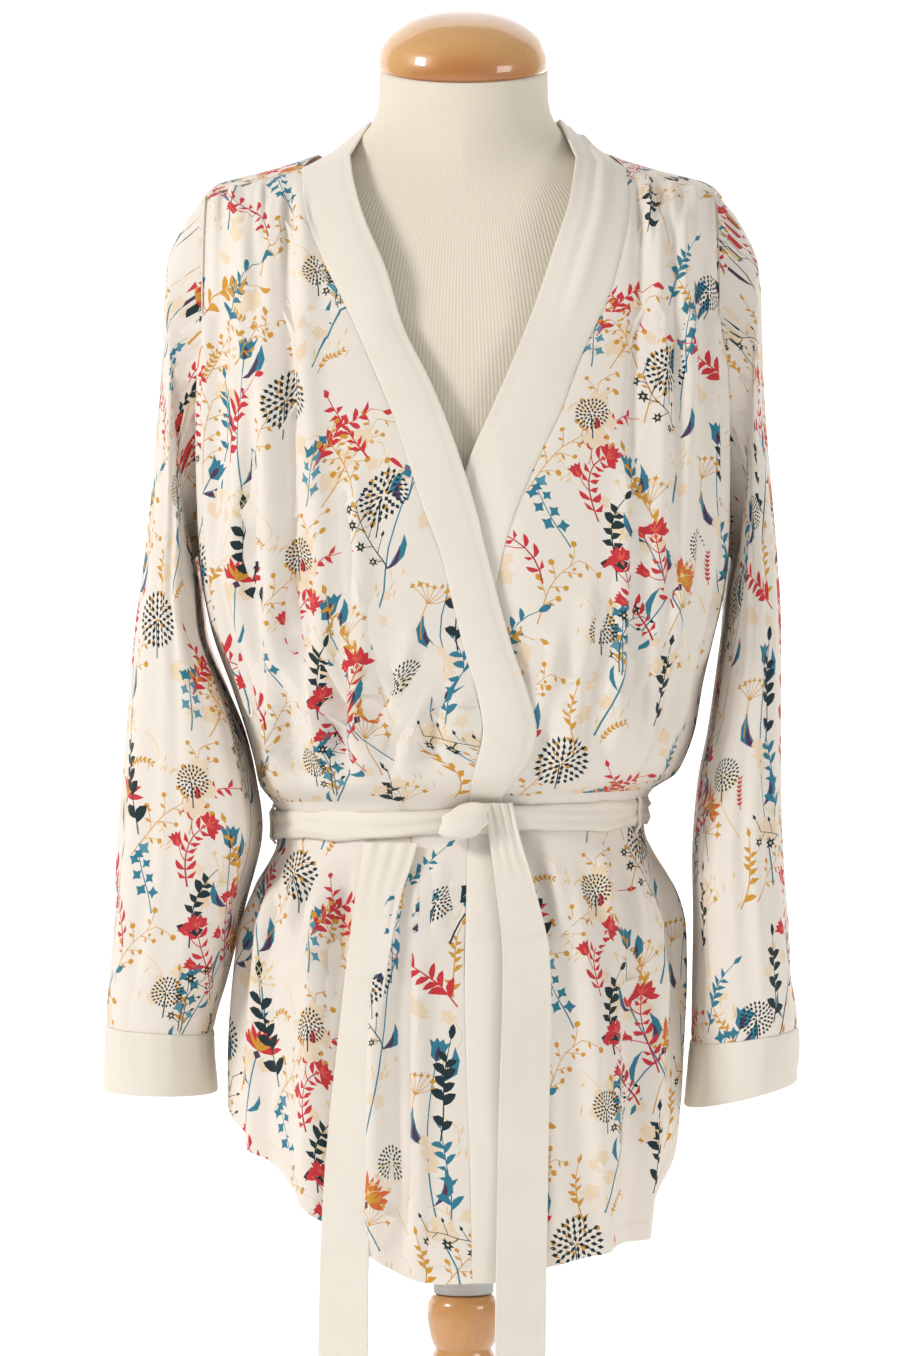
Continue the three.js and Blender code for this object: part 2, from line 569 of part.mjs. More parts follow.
function addSleeve(word, side, rows, ring) {
  const grid = sleeveGrid(side, rows, ring);
  const inside = point(side * 190, 0, 1150);
  const normals = normalsOf(grid, inside, true);
  normals[0].forEach((normal, i) => normal.copy(ring[i].normal));
  const cuffRow = grid.length - 2;
  const cuff = [grid[cuffRow].map((p) => p.clone()), grid[cuffRow + 1].map((p) => p.clone())];
  cuff.splice(1, 0, cuff[0].map((p, i) => p.clone().lerp(cuff[1][i], 0.5)));
  const cuffOut = [normals[cuffRow], normals[cuffRow], normals[cuffRow + 1]];
  const sleeve = grid.slice(0, cuffRow + 1);
  pullBack(sleeve, 'last', SEAM / 2);
  pullBack(cuff, 'first', SEAM / 2);
  garment.add(wall(`sleeve_${word}`, sleeve, normals.slice(0, cuffRow + 1), CLOTH, PRINT, true));
  garment.add(wall(`cuff_${word}`, cuff, cuffOut, TRIM, IVORY, true));
}

addSleeve('right', -1, LEFT_SLEEVE, armholeRing(
  rightFront, rightFrontOut, firstColumn(back), firstColumn(backOut),
));
addSleeve('left', 1, RIGHT_SLEEVE, armholeRing(
  leftFront, leftFrontOut, lastColumn(back), lastColumn(backOut),
));

for (const grid of [rightFront, leftFront]) {
  pullBack(grid, 'end', SEAM / 2);
  pullBack(grid, 'last', SEAM * 3);
}
for (const grid of [rightBand, leftBand]) {
  pullBack(grid, 'start', SEAM);
  pullBack(grid, 'last', SEAM / 2);
}
for (const edge of ['start', 'end', 'last']) {
  pullBack(back, edge, SEAM / 2);
}
garment.add(wall('front_right', rightFront, rightFrontOut, CLOTH, PRINT));
garment.add(wall('front_left', leftFront, leftFrontOut, CLOTH, PRINT));
garment.add(wall('back', back, backOut, CLOTH, PRINT));
garment.add(wall('band_right', rightBand, rightBandOut, CLOTH, IVORY));
garment.add(wall('band_left', leftBand, leftBandOut, CLOTH, IVORY));

// The form: level rings kept inside the cloth, the topmost one leaning forward
function addForm() {
  const count = 28;
  const rings = FORM.map((row) => {
    const ring = [];
    for (let i = 0; i < count; i += 1) {
      const turn = 2 * Math.PI * i / count;
      const x = row.half * power(Math.sin(turn), 2 / row.square);
      const deep = Math.cos(turn) > 0 ? row.front : row.back;
      ring.push(point(x, -deep * power(Math.cos(turn), 2 / row.square), row.z));
    }
    return ring;
  });
  const top = [];
  for (let i = 0; i < count; i += 1) {
    const turn = 2 * Math.PI * i / count;
    const y = -NECK.radius * Math.cos(turn);
    top.push(point(NECK.radius * Math.sin(turn), y, NECK.topZ + y * Math.tan(NECK.lean)));
  }
  rings.push(top);
  garment.add(stack('form_torso', rings, JERSEY));
}
addForm();

// The belt round the waist, in the groove between the blouse and the skirt
function addBelt() {
  const count = 44;
  const heights = [-0.5, 0, 0.5].map((part) => BELT.z + part * BELT.height);
  const grid = heights.map((z) => {
    const line = [];
    for (let i = 0; i < count; i += 1) {
      line.push(skin(2 * Math.PI * i / count - Math.PI, z, BELT.clear + BELT.thick));
    }
    return line;
  });
  garment.add(wall('belt', grid, normalsOf(grid, point(0, 0, BELT.z), true), BELT.thick, IVORY, true));
}

// One hanging end: flat across, and proud of everything that it hangs in front of
function addEnd(name, rows) {
  const steps = [0, 1 / 3, 2 / 3, 1];
  const count = 20;
  const grid = [];
  for (let i = 0; i <= count; i += 1) {
    const z = mix(rows[0].z, rows.at(-1).z, i / count);
    const [x, wide, proud] = ['x', 'wide', 'proud'].map((column) => along(rows, 'z', column, z));
    const across = steps.map((step) => x + (step - 0.5) * wide);
    const cloth = across.map((place) => onFront(place, Math.max(z, 715)).y);
    const line = steps.map((step) => mix(cloth[0], cloth.at(-1), step));
    const bulge = Math.max(...line.map((y, k) => y - cloth[k]));
    grid.push(across.map((place, k) => point(place, line[k] - bulge - proud, z)));
  }
  garment.add(wall(name, grid, normalsOf(grid, point(0, 0, 800), false), TRIM, IVORY));
}

function addKnot() {
  const ball = new THREE.SphereGeometry(1, 14, 9).scale(KNOT.wide, KNOT.deep, KNOT.high);
  const front = skin(0, BELT.z).y - BELT.clear - BELT.thick - SEAM - KNOT.deep;
  const knot = new THREE.Mesh(ball, new THREE.MeshStandardMaterial(IVORY));
  knot.position.set(KNOT.x, front, BELT.z);
  knot.name = 'belt_knot';
  garment.add(knot);
}

// A narrow keeper over the belt at each side
function addLoops() {
  const parts = [-1, -LOOP.shoulder / LOOP.reach, 0, LOOP.shoulder / LOOP.reach, 1];
  for (const loop of LOOPS) {
    const grid = parts.map((part) => {
      const over = Math.abs(part) < 1 ? BELT.clear + BELT.thick + SEAM * 2 : SEAM * 4;
      const z = BELT.z + part * LOOP.reach;
      return [-0.5, 0.5].map((step) => {
        const turn = radians(loop.turn) + step * LOOP.wide / 110;
        return skin(turn, z, over + CLOTH);
      });
    });
    const outward = normalsOf(grid, point(0, 0, BELT.z), false);
    garment.add(wall(`belt_loop_${loop.name}`, grid, outward, CLOTH, PRINT));
  }
}

// The stand below the form and the turned cap on its neck
function addStand() {
  const cap0 = turned('neck_cap', [
    [0, 0], [NECK.radius, 0], [NECK.radius + 1, 2], [NECK.radius + 1, 8], [54, 18], [44, 27],
    [28, 34.5], [12, NECK.dome - 0.6], [0, NECK.dome],
  ], WOOD);
  cap0.position.set(0, 0, NECK.topZ + SEAM);
  cap0.rotation.x = NECK.lean;
  garment.add(cap0);
  const formZ = FORM[0].z;
  garment.add(turned('collar', [
    [0, STEM.collarZ], [STEM.collar, STEM.collarZ], [STEM.collar, formZ - SEAM], [0, formZ - SEAM],
  ], METAL, 20));
  garment.add(turned('stem', [
    [0, FOOT.top + SEAM], [30, FOOT.top + SEAM], [30, FOOT.top + 10], [24, FOOT.top + 24],
    [STEM.column, FOOT.top + 50], [STEM.column, STEM.grooveZ - 3], [STEM.groove, STEM.grooveZ],
    [STEM.column, STEM.grooveZ + 3], [24, 662], [STEM.bead, 674], [22, 681],
    [19, STEM.collarZ - SEAM], [0, STEM.collarZ - SEAM],
  ], WOOD, 20));
  garment.add(turned('foot', [
    [0, 0], [FOOT.underside, 0], [FOOT.radius, 6], [FOOT.radius, 14], [FOOT.radius - 8, 20],
    [110, 27], [60, FOOT.top - 1], [50, FOOT.top], [0, FOOT.top],
  ], WOOD, 32));
}

addBelt();
addEnd('belt_end_1', END_ONE);
addEnd('belt_end_2', END_TWO);
addKnot();
addLoops();
addStand();

export default garment;
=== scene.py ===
# %% [markdown]
# # A short wrap kimono on its dress form
# A light crepe kimono with a small flower print hangs on a padded form that has no arms or legs.
# Plain ivory bands edge the neck, plain cuffs end the sleeves, and a narrow ivory belt ties it.
# The cells below build the cloth as thin sheets over the measured shape, piece by piece, because
# cloth is cut, gathered and sewn piece by piece too. All tables are in millimetres, like a pattern.

import json
import math

import bpy
import numpy as np
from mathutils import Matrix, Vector, geometry

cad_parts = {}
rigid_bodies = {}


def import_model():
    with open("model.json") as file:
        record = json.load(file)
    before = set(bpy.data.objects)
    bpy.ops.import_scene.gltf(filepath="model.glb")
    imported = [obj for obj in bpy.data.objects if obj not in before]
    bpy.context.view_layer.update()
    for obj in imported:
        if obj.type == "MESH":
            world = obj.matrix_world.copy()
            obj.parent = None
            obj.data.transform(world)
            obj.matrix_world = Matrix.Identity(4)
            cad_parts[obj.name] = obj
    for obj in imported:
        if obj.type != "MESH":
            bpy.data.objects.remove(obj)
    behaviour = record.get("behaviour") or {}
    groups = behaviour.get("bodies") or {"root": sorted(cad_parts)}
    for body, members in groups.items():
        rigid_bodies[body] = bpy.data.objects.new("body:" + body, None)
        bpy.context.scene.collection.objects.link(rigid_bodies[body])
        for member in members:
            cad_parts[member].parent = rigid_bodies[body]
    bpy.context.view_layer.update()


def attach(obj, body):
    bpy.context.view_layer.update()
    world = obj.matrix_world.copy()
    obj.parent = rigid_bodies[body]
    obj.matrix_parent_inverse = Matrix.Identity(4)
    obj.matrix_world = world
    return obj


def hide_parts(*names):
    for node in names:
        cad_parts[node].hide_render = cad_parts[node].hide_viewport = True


for thing in list(bpy.data.objects):
    bpy.data.objects.remove(thing)
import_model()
MM = 0.001

# %% [markdown]
# ## Camera, light and white room
# The photo is taken from three metres with a long lens at chest height, so lines stay upright.
# Two wide soft lamps stand in front and a pale one behind lights the thin cloth through, which
# is why the sleeves and the hem glow a little at their edges.

# %% Camera
scene = bpy.context.scene
camera_data = bpy.data.cameras.new("camera")
camera_data.sensor_fit = "VERTICAL"
camera_data.sensor_height = 36.0
camera_data.lens = 36.0 * 3.0 / 0.929
camera = bpy.data.objects.new("camera", camera_data)
camera.location = (-0.008, -3.0, 1.104)
camera.rotation_euler = (math.radians(90.0), 0.0, 0.0)
scene.collection.objects.link(camera)
scene.camera = camera
scene.view_settings.view_transform = "Standard"
print("lens", round(camera_data.lens, 1), "mm")


# %% Lamps
def lamp(name, place, target, size, watts, tint=(1.0, 1.0, 1.0)):
    """A square soft lamp that looks at a target."""
    data = bpy.data.lights.new(name, "AREA")
    data.shape = "SQUARE"
    data.size = size
    data.energy = watts
    data.color = tint
    thing = bpy.data.objects.new(name, data)
    thing.location = place
    aim = Vector(target) - Vector(place)
    thing.rotation_euler = aim.to_track_quat("-Z", "Y").to_euler()
    scene.collection.objects.link(thing)


lamp("lamp left", (-2.5, -1.5, 2.5), (0.0, 0.0, 1.1), 0.7, 62.0, (1.0, 0.98, 0.95))
lamp("lamp right", (2.7, -1.9, 1.5), (0.0, 0.0, 1.0), 1.2, 26.0, (1.0, 0.98, 0.95))
lamp("lamp behind", (0.3, 2.0, 1.5), (0.0, 0.0, 1.0), 1.6, 26.0)

world = bpy.data.worlds.new("white room")
scene.world = world
world.use_nodes = True
world.node_tree.nodes["Background"].inputs["Color"].default_value = (1.0, 0.985, 0.96, 1.0)
world.node_tree.nodes["Background"].inputs["Strength"].default_value = 0.42


# %% [markdown]
# ## A small language for surfaces
# A material is a sum of patterns, so it reads best as arithmetic. One small class wraps a node's
# output, and adding or multiplying two of them makes the Math node that does it.

# %% Sockets as numbers
class Value:
    """A node output that can be added, multiplied and compared like a number."""

    def __init__(self, surface, socket):
        self.surface = surface
        self.socket = socket

    def _math(self, operation, *others):
        node = self.surface.tree.nodes.new("ShaderNodeMath")
        node.operation = operation
        for place, item in enumerate((self, *others)):
            self.surface.feed(node.inputs[place], item)
        return Value(self.surface, node.outputs[0])

    def __add__(self, other):
        return self._math("ADD", other)

    def __radd__(self, other):
        return self._math("ADD", other)

    def __mul__(self, other):
        return self._math("MULTIPLY", other)

    def __rmul__(self, other):
        return self._math("MULTIPLY", other)

    def __sub__(self, other):
        return self._math("SUBTRACT", other)

    def __rsub__(self, other):
        return self._math("MULTIPLY", -1.0)._math("ADD", other)

    def __truediv__(self, other):
        return self._math("DIVIDE", other)

    def __pow__(self, other):
        return self._math("POWER", other)

    def sine(self):
        return self._math("SINE")

    def held(self, low=0.0, high=1.0):
        """The value kept between two ends."""
        return self._math("MAXIMUM", low)._math("MINIMUM", high)


class Surface:
    """One material: its node tree, its shader and the helpers that feed them."""

    def __init__(self, name, **numbers):
        self.material = bpy.data.materials.new(name)
        self.material.use_nodes = True
        self.tree = self.material.node_tree
        self.shader = self.tree.nodes["Principled BSDF"]
        for key, number in numbers.items():
            self.shader.inputs[key.replace("_", " ")].default_value = number

    def feed(self, socket, item):
        """Links a value to a socket, or sets the socket to a plain number or colour."""
        if isinstance(item, Value):
            self.tree.links.new(item.socket, socket)
        else:
            socket.default_value = item

    def node(self, kind, settings=None, output=0, **inputs):
        """Any node: its kind, its settings first, then its inputs."""
        made = self.tree.nodes.new(kind)
        for key, setting in (settings or {}).items():
            setattr(made, key, setting)
        for key, item in inputs.items():
            self.feed(made.inputs[key.replace("_", " ")], item)
        return Value(self, made.outputs[output])

    def place(self):
        return self.node("ShaderNodeTexCoord", output="Object")

    def parts(self, vector):
        split = self.tree.nodes.new("ShaderNodeSeparateXYZ")
        self.feed(split.inputs[0], vector)
        return [Value(self, split.outputs[k]) for k in range(3)]

    def stretch(self, vector, scale):
        made = self.tree.nodes.new("ShaderNodeVectorMath")
        made.operation = "MULTIPLY"
        self.feed(made.inputs[0], vector)
        made.inputs[1].default_value = scale
        return Value(self, made.outputs[0])

    def noise(self, vector, scale, detail=3.0, roughness=0.5):
        return self.node("ShaderNodeTexNoise", Vector=vector, Scale=scale, Detail=detail,
                         Roughness=roughness)

    def mix(self, amount, low, high, blend="MIX"):
        """A mix of two colours."""
        made = self.tree.nodes.new("ShaderNodeMix")
        made.data_type = "RGBA"
        made.blend_type = blend
        self.feed(made.inputs[0], amount)
        self.feed(made.inputs[6], low)
        self.feed(made.inputs[7], high)
        return Value(self, made.outputs[2])

    def bump(self, height, distance, strength=1.0):
        normal = self.node("ShaderNodeBump", Height=height, Distance=distance,
                           Strength=strength)
        self.feed(self.shader.inputs["Normal"], normal)

    def glow_through(self, colour, amount):
        """Lets some of the light behind a thin sheet come through it."""
        through = self.node("ShaderNodeBsdfTranslucent", Color=colour)
        mixed = self.tree.nodes.new("ShaderNodeMixShader")
        mixed.inputs[0].default_value = amount
        self.tree.links.new(self.shader.outputs[0], mixed.inputs[1])
        self.tree.links.new(through.socket, mixed.inputs[2])
        output = self.tree.nodes["Material Output"]
        self.tree.links.new(mixed.outputs[0], output.inputs["Surface"])


def paint(red, green, blue):
    """A colour as light, from the usual 0 to 255 screen numbers."""
    def light(part):
        part = part / 255.0
        return part / 12.92 if part <= 0.04045 else ((part + 0.055) / 1.055) ** 2.4
    return (light(red), light(green), light(blue), 1.0)


# %% [markdown]
# ## The cloths
# Viscose crepe is woven from tightly twisted yarn, so its face is faintly pebbled and matt.
# The print's colour is carried by the cloth itself: each spot of the mesh knows its ink, and
# the material only adds the weave, a slight unevenness of the dye and the light through it.

# %% Printed crepe
def crepe_height(surface, vector):
    """The pebbled face of crepe: uneven twisted yarns, a little stronger one way."""
    fine = surface.noise(surface.stretch(vector, (1.0, 1.0, 0.45)), 2600.0, 2.0)
    soft = surface.noise(vector, 420.0, 3.0)
    return fine * 0.5 + soft * 0.5


printed = Surface("printed crepe", Roughness=0.82, Specular_IOR_Level=0.28, Sheen_Weight=0.12)
spot = printed.place()
ink = printed.node("ShaderNodeAttribute", {"attribute_name": "ink"}, output="Color")
dye = printed.noise(spot, 34.0, 4.0)
yarn = printed.noise(printed.stretch(spot, (1.0, 1.0, 0.3)), 1500.0, 2.0)
shade = (dye * 0.07 + yarn * 0.07 + 0.93).held(0.0, 1.0)
grey = printed.node("ShaderNodeCombineColor", Red=shade, Green=shade, Blue=shade)
printed_colour = printed.mix(1.0, ink, grey, "MULTIPLY")
printed.feed(printed.shader.inputs["Base Color"], printed_colour)
printed.bump(crepe_height(printed, spot), 0.00035, 0.5)
printed.glow_through(printed_colour, 0.22)

# %% Ivory crepe
ivory = Surface("ivory crepe", Roughness=0.8, Specular_IOR_Level=0.3, Sheen_Weight=0.12)
spot = ivory.place()
cloudy = ivory.noise(spot, 26.0, 3.0)
ivory_colour = ivory.mix(cloudy, paint(238, 231, 219), paint(246, 240, 229))
ivory.feed(ivory.shader.inputs["Base Color"], ivory_colour)
ivory.bump(crepe_height(ivory, spot), 0.0003, 0.45)
ivory.glow_through(ivory_colour, 0.12)

# %% Sewing thread
thread = Surface("sewing thread", Roughness=0.7)
spot = thread.place()
ply = thread.noise(spot, 900.0, 2.0)
thread_colour = thread.mix(ply, paint(226, 216, 200), paint(246, 240, 228))
thread.feed(thread.shader.inputs["Base Color"], thread_colour)


# %% [markdown]
# ## The form and the stand
# The form is padded and covered with a ribbed cotton jersey: fine wales run straight down it.
# The neck cap, the pole and the foot are turned pine under clear varnish, and a satin metal
# collar joins the pole to the form. The wood's rings follow the trunk, not the turning, so its
# grain is one solid pattern through space that the shapes cut across.

# %% Ribbed jersey
jersey = Surface("form jersey", Roughness=0.9, Specular_IOR_Level=0.2, Sheen_Weight=0.2)
spot = jersey.place()
across, deep, high = jersey.parts(spot)
turn_round = jersey.node("ShaderNodeMath", {"operation": "ARCTAN2"})
jersey.feed(turn_round.socket.node.inputs[0], across)
jersey.feed(turn_round.socket.node.inputs[1], deep * -1.0)
wale = (turn_round * 260.0).sine() * 0.5 + 0.5
fuzz = jersey.noise(spot, 500.0, 3.0)
wide = jersey.noise(spot, 9.0, 3.0)
# Painted shade: the colour is darker where the wales and the fuzz dip, in the grooves that the bump
# makes; the wide noise adds uneven tone.
jersey_colour_and_groove_shade = jersey.mix(wale * 0.5 + fuzz * 0.3 + wide * 0.2, paint(222, 212, 194),
                           paint(240, 232, 216))
jersey.feed(jersey.shader.inputs["Base Color"], jersey_colour_and_groove_shade)
jersey.bump(wale * 0.7 + fuzz * 0.3, 0.0004, 0.5)

# %% Varnished pine
def varnished(name, rings, threads, pale, brown):
    """Softwood under gloss varnish; the numbers are low along the grain and high across."""
    grain = Surface(name, Coat_Roughness=0.06, Coat_Weight=1.0)
    spot = grain.place()
    bent = grain.noise(grain.stretch(spot, (3.0, 3.0, 1.2)), 2.2, 3.0)
    across, deep, high = grain.parts(grain.stretch(spot, rings))
    rings = (high + deep * 0.35 + across * 0.16 + bent * 9.0).sine() * 0.5 + 0.5
    fibre = grain.noise(grain.stretch(spot, threads), 3.0, 4.0)
    late = rings ** 2.2
    wood = grain.mix(late, pale, brown)
    wood = grain.mix(fibre * 0.35, wood, paint(168, 104, 48))
    grain.feed(grain.shader.inputs["Base Color"], wood)
    grain.feed(grain.shader.inputs["Roughness"], fibre * 0.15 + 0.26)
    grain.bump(fibre, 0.0001, 0.2)
    return grain


pine = varnished("varnished pine", (24.0, 90.0, 95.0), (9.0, 130.0, 130.0),
                 paint(222, 172, 108), paint(184, 118, 56))
pole_pine = varnished("varnished pole", (80.0, 60.0, 3.0), (130.0, 130.0, 7.0),
                      paint(206, 154, 94), paint(164, 102, 48))

# %% Collar metal
satin = Surface("collar metal", Metallic=1.0)
spot = satin.place()
across, deep, high = satin.parts(spot)
brush = satin.noise(satin.stretch(spot, (6.0, 6.0, 900.0)), 2.0, 3.0)
metal = satin.mix(brush, paint(150, 148, 144), paint(196, 194, 190))
satin.feed(satin.shader.inputs["Base Color"], metal)
satin.feed(satin.shader.inputs["Roughness"], brush * 0.2 + 0.3)

for material in (printed, ivory, thread, jersey, pine, satin):
    print("material", material.material.name, len(material.tree.nodes), "nodes")

# %% [markdown]
# ## The drape, as tables
# A draped garment is easiest to describe by level sections, the way a tailor measures a stand:
# how far the cloth reaches to each side, to the front and to the back at each height, and how
# square the section is. Between rows a smooth curve runs. Right and left are the wearer's.

# %% Curves through table rows
class Curve:
    """A smooth curve through rows of numbers, held level beyond its ends."""

    def __init__(self, xs, ys):
        order = np.argsort(xs)
        self.xs = np.array(xs, float)[order]
        self.ys = np.array(ys, float)[order]
        last = len(self.xs) - 1
        before = np.maximum(np.arange(last + 1) - 1, 0)
        after = np.minimum(np.arange(last + 1) + 1, last)
        self.slopes = ((self.ys[after] - self.ys[before]) / (self.xs[after] - self.xs[before]))

    def __call__(self, at):
        at = np.clip(np.asarray(at, float), self.xs[0], self.xs[-1])
        i = np.clip(np.searchsorted(self.xs, at, side="right") - 1, 0, len(self.xs) - 2)
        span = self.xs[i + 1] - self.xs[i]
        t = (at - self.xs[i]) / span
        h = t * t * (3 - 2 * t)
        bend = span * t * (1 - t) * ((1 - t) * self.slopes[i] - t * self.slopes[i + 1])
        return self.ys[i] * (1 - h) + self.ys[i + 1] * h + bend


def curves(rows, count):
    """One curve for each column after the first."""
    return [Curve([row[0] for row in rows], [row[k] for row in rows]) for k in range(1, count)]


def smooth(t):
    """A soft step from 0 to 1."""
    t = np.clip(t, 0.0, 1.0)
    return t * t * (3 - 2 * t)


def power(value, exponent):
    """A power that keeps the sign, which squares off a circle into a softer box."""
    return np.sign(value) * np.abs(value) ** exponent


def hump(away):
    """A round hump: 1 in its middle, and 0 from one half width away."""
    return (1 + np.cos(np.pi * np.minimum(away, 1))) / 2


# %% The torso's sections, from the hem to the shoulders
TORSO = [
    (660, 150, 126, 124, 122, 2.4), (700, 151, 129, 125, 123, 2.4), (760, 153, 136, 125, 123, 2.4),
    (810, 155, 142, 124, 121, 2.4), (860, 155, 145, 122, 118, 2.4), (911, 151, 147, 117, 113, 2.4),
    (960, 144, 143, 110, 104, 2.4), (984, 132, 129, 102, 92, 2.4), (994, 128, 124, 99, 88, 2.4),
    (1020, 128, 124, 99, 88, 2.4), (1027, 133, 133, 108, 94, 2.5), (1034, 139, 144, 118, 100, 2.6),
    (1050, 143, 152, 123, 103, 2.7), (1070, 149, 158, 124, 102, 2.8), (1100, 159, 163, 124, 98, 2.9),
    (1130, 170, 170, 124, 95, 3.0), (1160, 177, 177, 125, 94, 3.0), (1190, 181, 181, 126, 94, 3.0),
    (1230, 183, 182, 128, 95, 3.0), (1275, 184, 182, 124, 97, 3.0), (1310, 184, 182, 115, 98, 3.0),
    (1345, 184, 182, 104, 98, 3.0),
]
right_half, left_half, front_depth, back_depth, squareness = curves(TORSO, 6)
RIDGE = [(0, 1512), (30, 1506), (60, 1492), (80, 1476), (98, 1464), (131, 1453), (166, 1444),
         (184, 1436)]
ridge_height, = curves(RIDGE, 2)
HEM = [
    (-180, 708), (-150, 722), (-130, 752), (-110, 802), (-90, 836), (-72, 800), (-52, 780),
    (-36, 749), (-22, 729), (-10, 709), (0, 706), (26, 718), (50, 728), (66, 738), (78, 788),
    (90, 840), (110, 804), (130, 752), (150, 722), (180, 708),
]
hem_height, = curves(HEM, 2)

# %% The bands' seams and free edges, by height
TOP_BAND = [
    (690, -6, -43, 690), (800, -3, -41, 800), (900, 0, -39, 900), (985, -2, -36, 985),
    (1005, -3, -27, 1005), (1023, -3, -26, 1025), (1045, -7, -43, 1050), (1068, -12, -48, 1070),
    (1090, -9, -43, 1092), (1130, 2, -30, 1131), (1186, 16, -14, 1190), (1215, 27, -8, 1215),
    (1269, 44, 7, 1262), (1310, 61, 22, 1300), (1347, 77, 40, 1337), (1382, 94, 52, 1377),
    (1409, 104, 66, 1410), (1430, 108, 74, 1438), (1450, 110, 77, 1458),
]
UNDER_BAND = [
    (676, 22, -14, 676), (800, 10, -26, 800), (900, 2, -34, 900), (980, -5, -42, 980),
    (1015, -7, -44, 1015), (1050, -5, -43, 1050), (1090, 3, -36, 1092), (1130, 11, -26, 1132),
    (1168, 22, -16, 1170), (1206, 31, -9, 1208), (1252, 50, 4, 1250), (1279, 63, 16, 1277),
    (1316, 77, 32, 1314), (1353, 94, 47, 1352), (1391, 105, 60, 1391), (1419, 110, 70, 1422),
    (1450, 110, 76, 1456),
]
top_band = curves(TOP_BAND, 4)
under_band = curves(UNDER_BAND, 4)

# %% Large soft folds: place round the body and half width in degrees, height, top and bottom
FOLDS = [
    (-70, 5, 3, 1430, 1120), (-62, 6, 5, 1425, 1060), (-47, 6, 4, 1430, 1190),
    (-50, 8, 6, 1240, 1030), (-34, 7, 5, 1330, 1035), (-20, 6, 5, 1160, 1030),
    (70, 5, 3, 1430, 1100), (60, 6, 4, 1430, 1060), (47, 6, 5, 1420, 1150),
    (44, 8, 6, 1180, 1032), (30, 7, 5, 1130, 1032), (17, 6, 4, 1100, 1030),
    (-78, 8, 6, 975, 640), (-60, 8, 7, 985, 640), (-38, 7, 5, 985, 640), (-18, 6, 5, 985, 640),
    (40, 7, 5, 980, 640), (58, 8, 8, 985, 640), (77, 7, 6, 985, 640),
    (-105, 8, 5, 1400, 1040), (-122, 7, 4, 1390, 1150), (-135, 8, 6, 1300, 1036),
    (-158, 9, 5, 1330, 1040), (180, 8, 5, 1240, 1034), (160, 9, 6, 1350, 1036),
    (140, 8, 5, 1280, 1040), (122, 7, 4, 1400, 1100), (106, 8, 5, 1400, 1036),
    (-102, 8, 6, 980, 640), (-124, 8, 7, 985, 640), (-146, 8, 6, 985, 640),
    (-168, 8, 7, 985, 640), (172, 8, 6, 985, 640), (150, 8, 7, 985, 640),
    (127, 8, 6, 985, 640), (104, 8, 7, 980, 640),
]
print(len(TORSO), "sections,", len(HEM), "hem heights and", len(FOLDS), "large folds")
CAP_Z = 1345.0
RIDGE_Y = 8.0
FORWARD = math.radians(66.0)
UNDERARM_Z = 1190.0
ARMHOLE_Z = 1330.0
ARMHOLE_HALF = 57.0
NECK_SEAM = (98.0, 76.0)
NECK_EDGE = (66.0, 57.0)
BELT_Z = 1009.0
BELT_TILT = 5.0
BELT_NEAR = 70.0


# %% [markdown]
# ## Points on the cloth
# `skin` gives a point of the cloth by its turn round the body and its height. Over the shoulders
# the cloth leaves the level sections and curves up to the ridge, which `cap` does. The fronts,
# the back and the bands take all their points from these two, so they meet along their seams.

# %% Skin and cap
FOLD_LIFT = 1.25


def lift(turn, z):
    """How far the large folds stand out at a turn and a height."""
    out = np.zeros(np.broadcast(turn, z).shape)
    for place, wide, high, top, bottom in FOLDS:
        away = np.abs((np.degrees(turn) - place + 540) % 360 - 180) / wide
        ends = smooth((top - z) / 50) * smooth((z - bottom) / 25)
        out += FOLD_LIFT * high * ends * hump(away)
    return out


def belt_drop(x, z):
    """The belt sits a little lower on the right, and the cloth beside it slopes along."""
    return BELT_TILT * smooth(np.maximum(0, 1 - np.abs(z - BELT_Z) / BELT_NEAR)) * x / 130


def skin(turn, z, out=0.0):
    """A point of the cloth's outside below the cap; out moves it away from the body."""
    s = np.sin(turn)
    c = np.cos(turn)
    flat = 2 / squareness(z)
    more = out + lift(turn, z)
    half = np.where(s < 0, right_half(z), left_half(z)) + more
    depth = np.where(c > 0, front_depth(z), back_depth(z)) + more
    x = power(s, flat) * half
    return np.stack([x, -power(c, flat) * depth, z + belt_drop(x, z)], axis=-1)


def turn_at(x, z):
    """The turn at which a level section has a given x, on the front."""
    half = np.where(x < 0, right_half(z), left_half(z))
    part = np.minimum(1, np.abs(x) / half) ** (squareness(z) / 2)
    return np.sign(x) * np.arcsin(part)


def cap(x, rise, out=0.0):
    """A point over the shoulder: rise is 0 at the front and a half turn at the back."""
    level = np.full(np.shape(x), CAP_Z)
    turn = turn_at(x, level)
    turn = np.where(rise < math.pi / 2, turn, math.pi - turn)
    low = skin(turn, level, out)
    ridge = ridge_height(np.abs(x)) + out
    y = RIDGE_Y + (low[..., 1] - RIDGE_Y) * np.abs(np.cos(rise))
    return np.stack([x, y, CAP_Z + (ridge - CAP_Z) * np.sin(rise)], axis=-1)


def rise_at(x, z):
    ridge = ridge_height(np.abs(x))
    return np.arcsin(np.clip((z - CAP_Z) / (ridge - CAP_Z), 0, 1))


def on_front(x, z, out=0.0):
    x, z, out = np.broadcast_arrays(np.asarray(x, float), np.asarray(z, float), out)
    low = skin(turn_at(x, np.minimum(z, CAP_Z)), np.minimum(z, CAP_Z), out)
    high = cap(x, rise_at(x, z), out)
    return np.where((z > CAP_Z)[..., None], high, low)


def on_back_cap(x, y, out=0.0):
    low = cap(x, np.full(np.shape(x), math.pi), out)
    part = np.clip((y - RIDGE_Y) / (low[..., 1] - RIDGE_Y), -1, 1)
    return cap(x, math.pi - np.arccos(part), out)
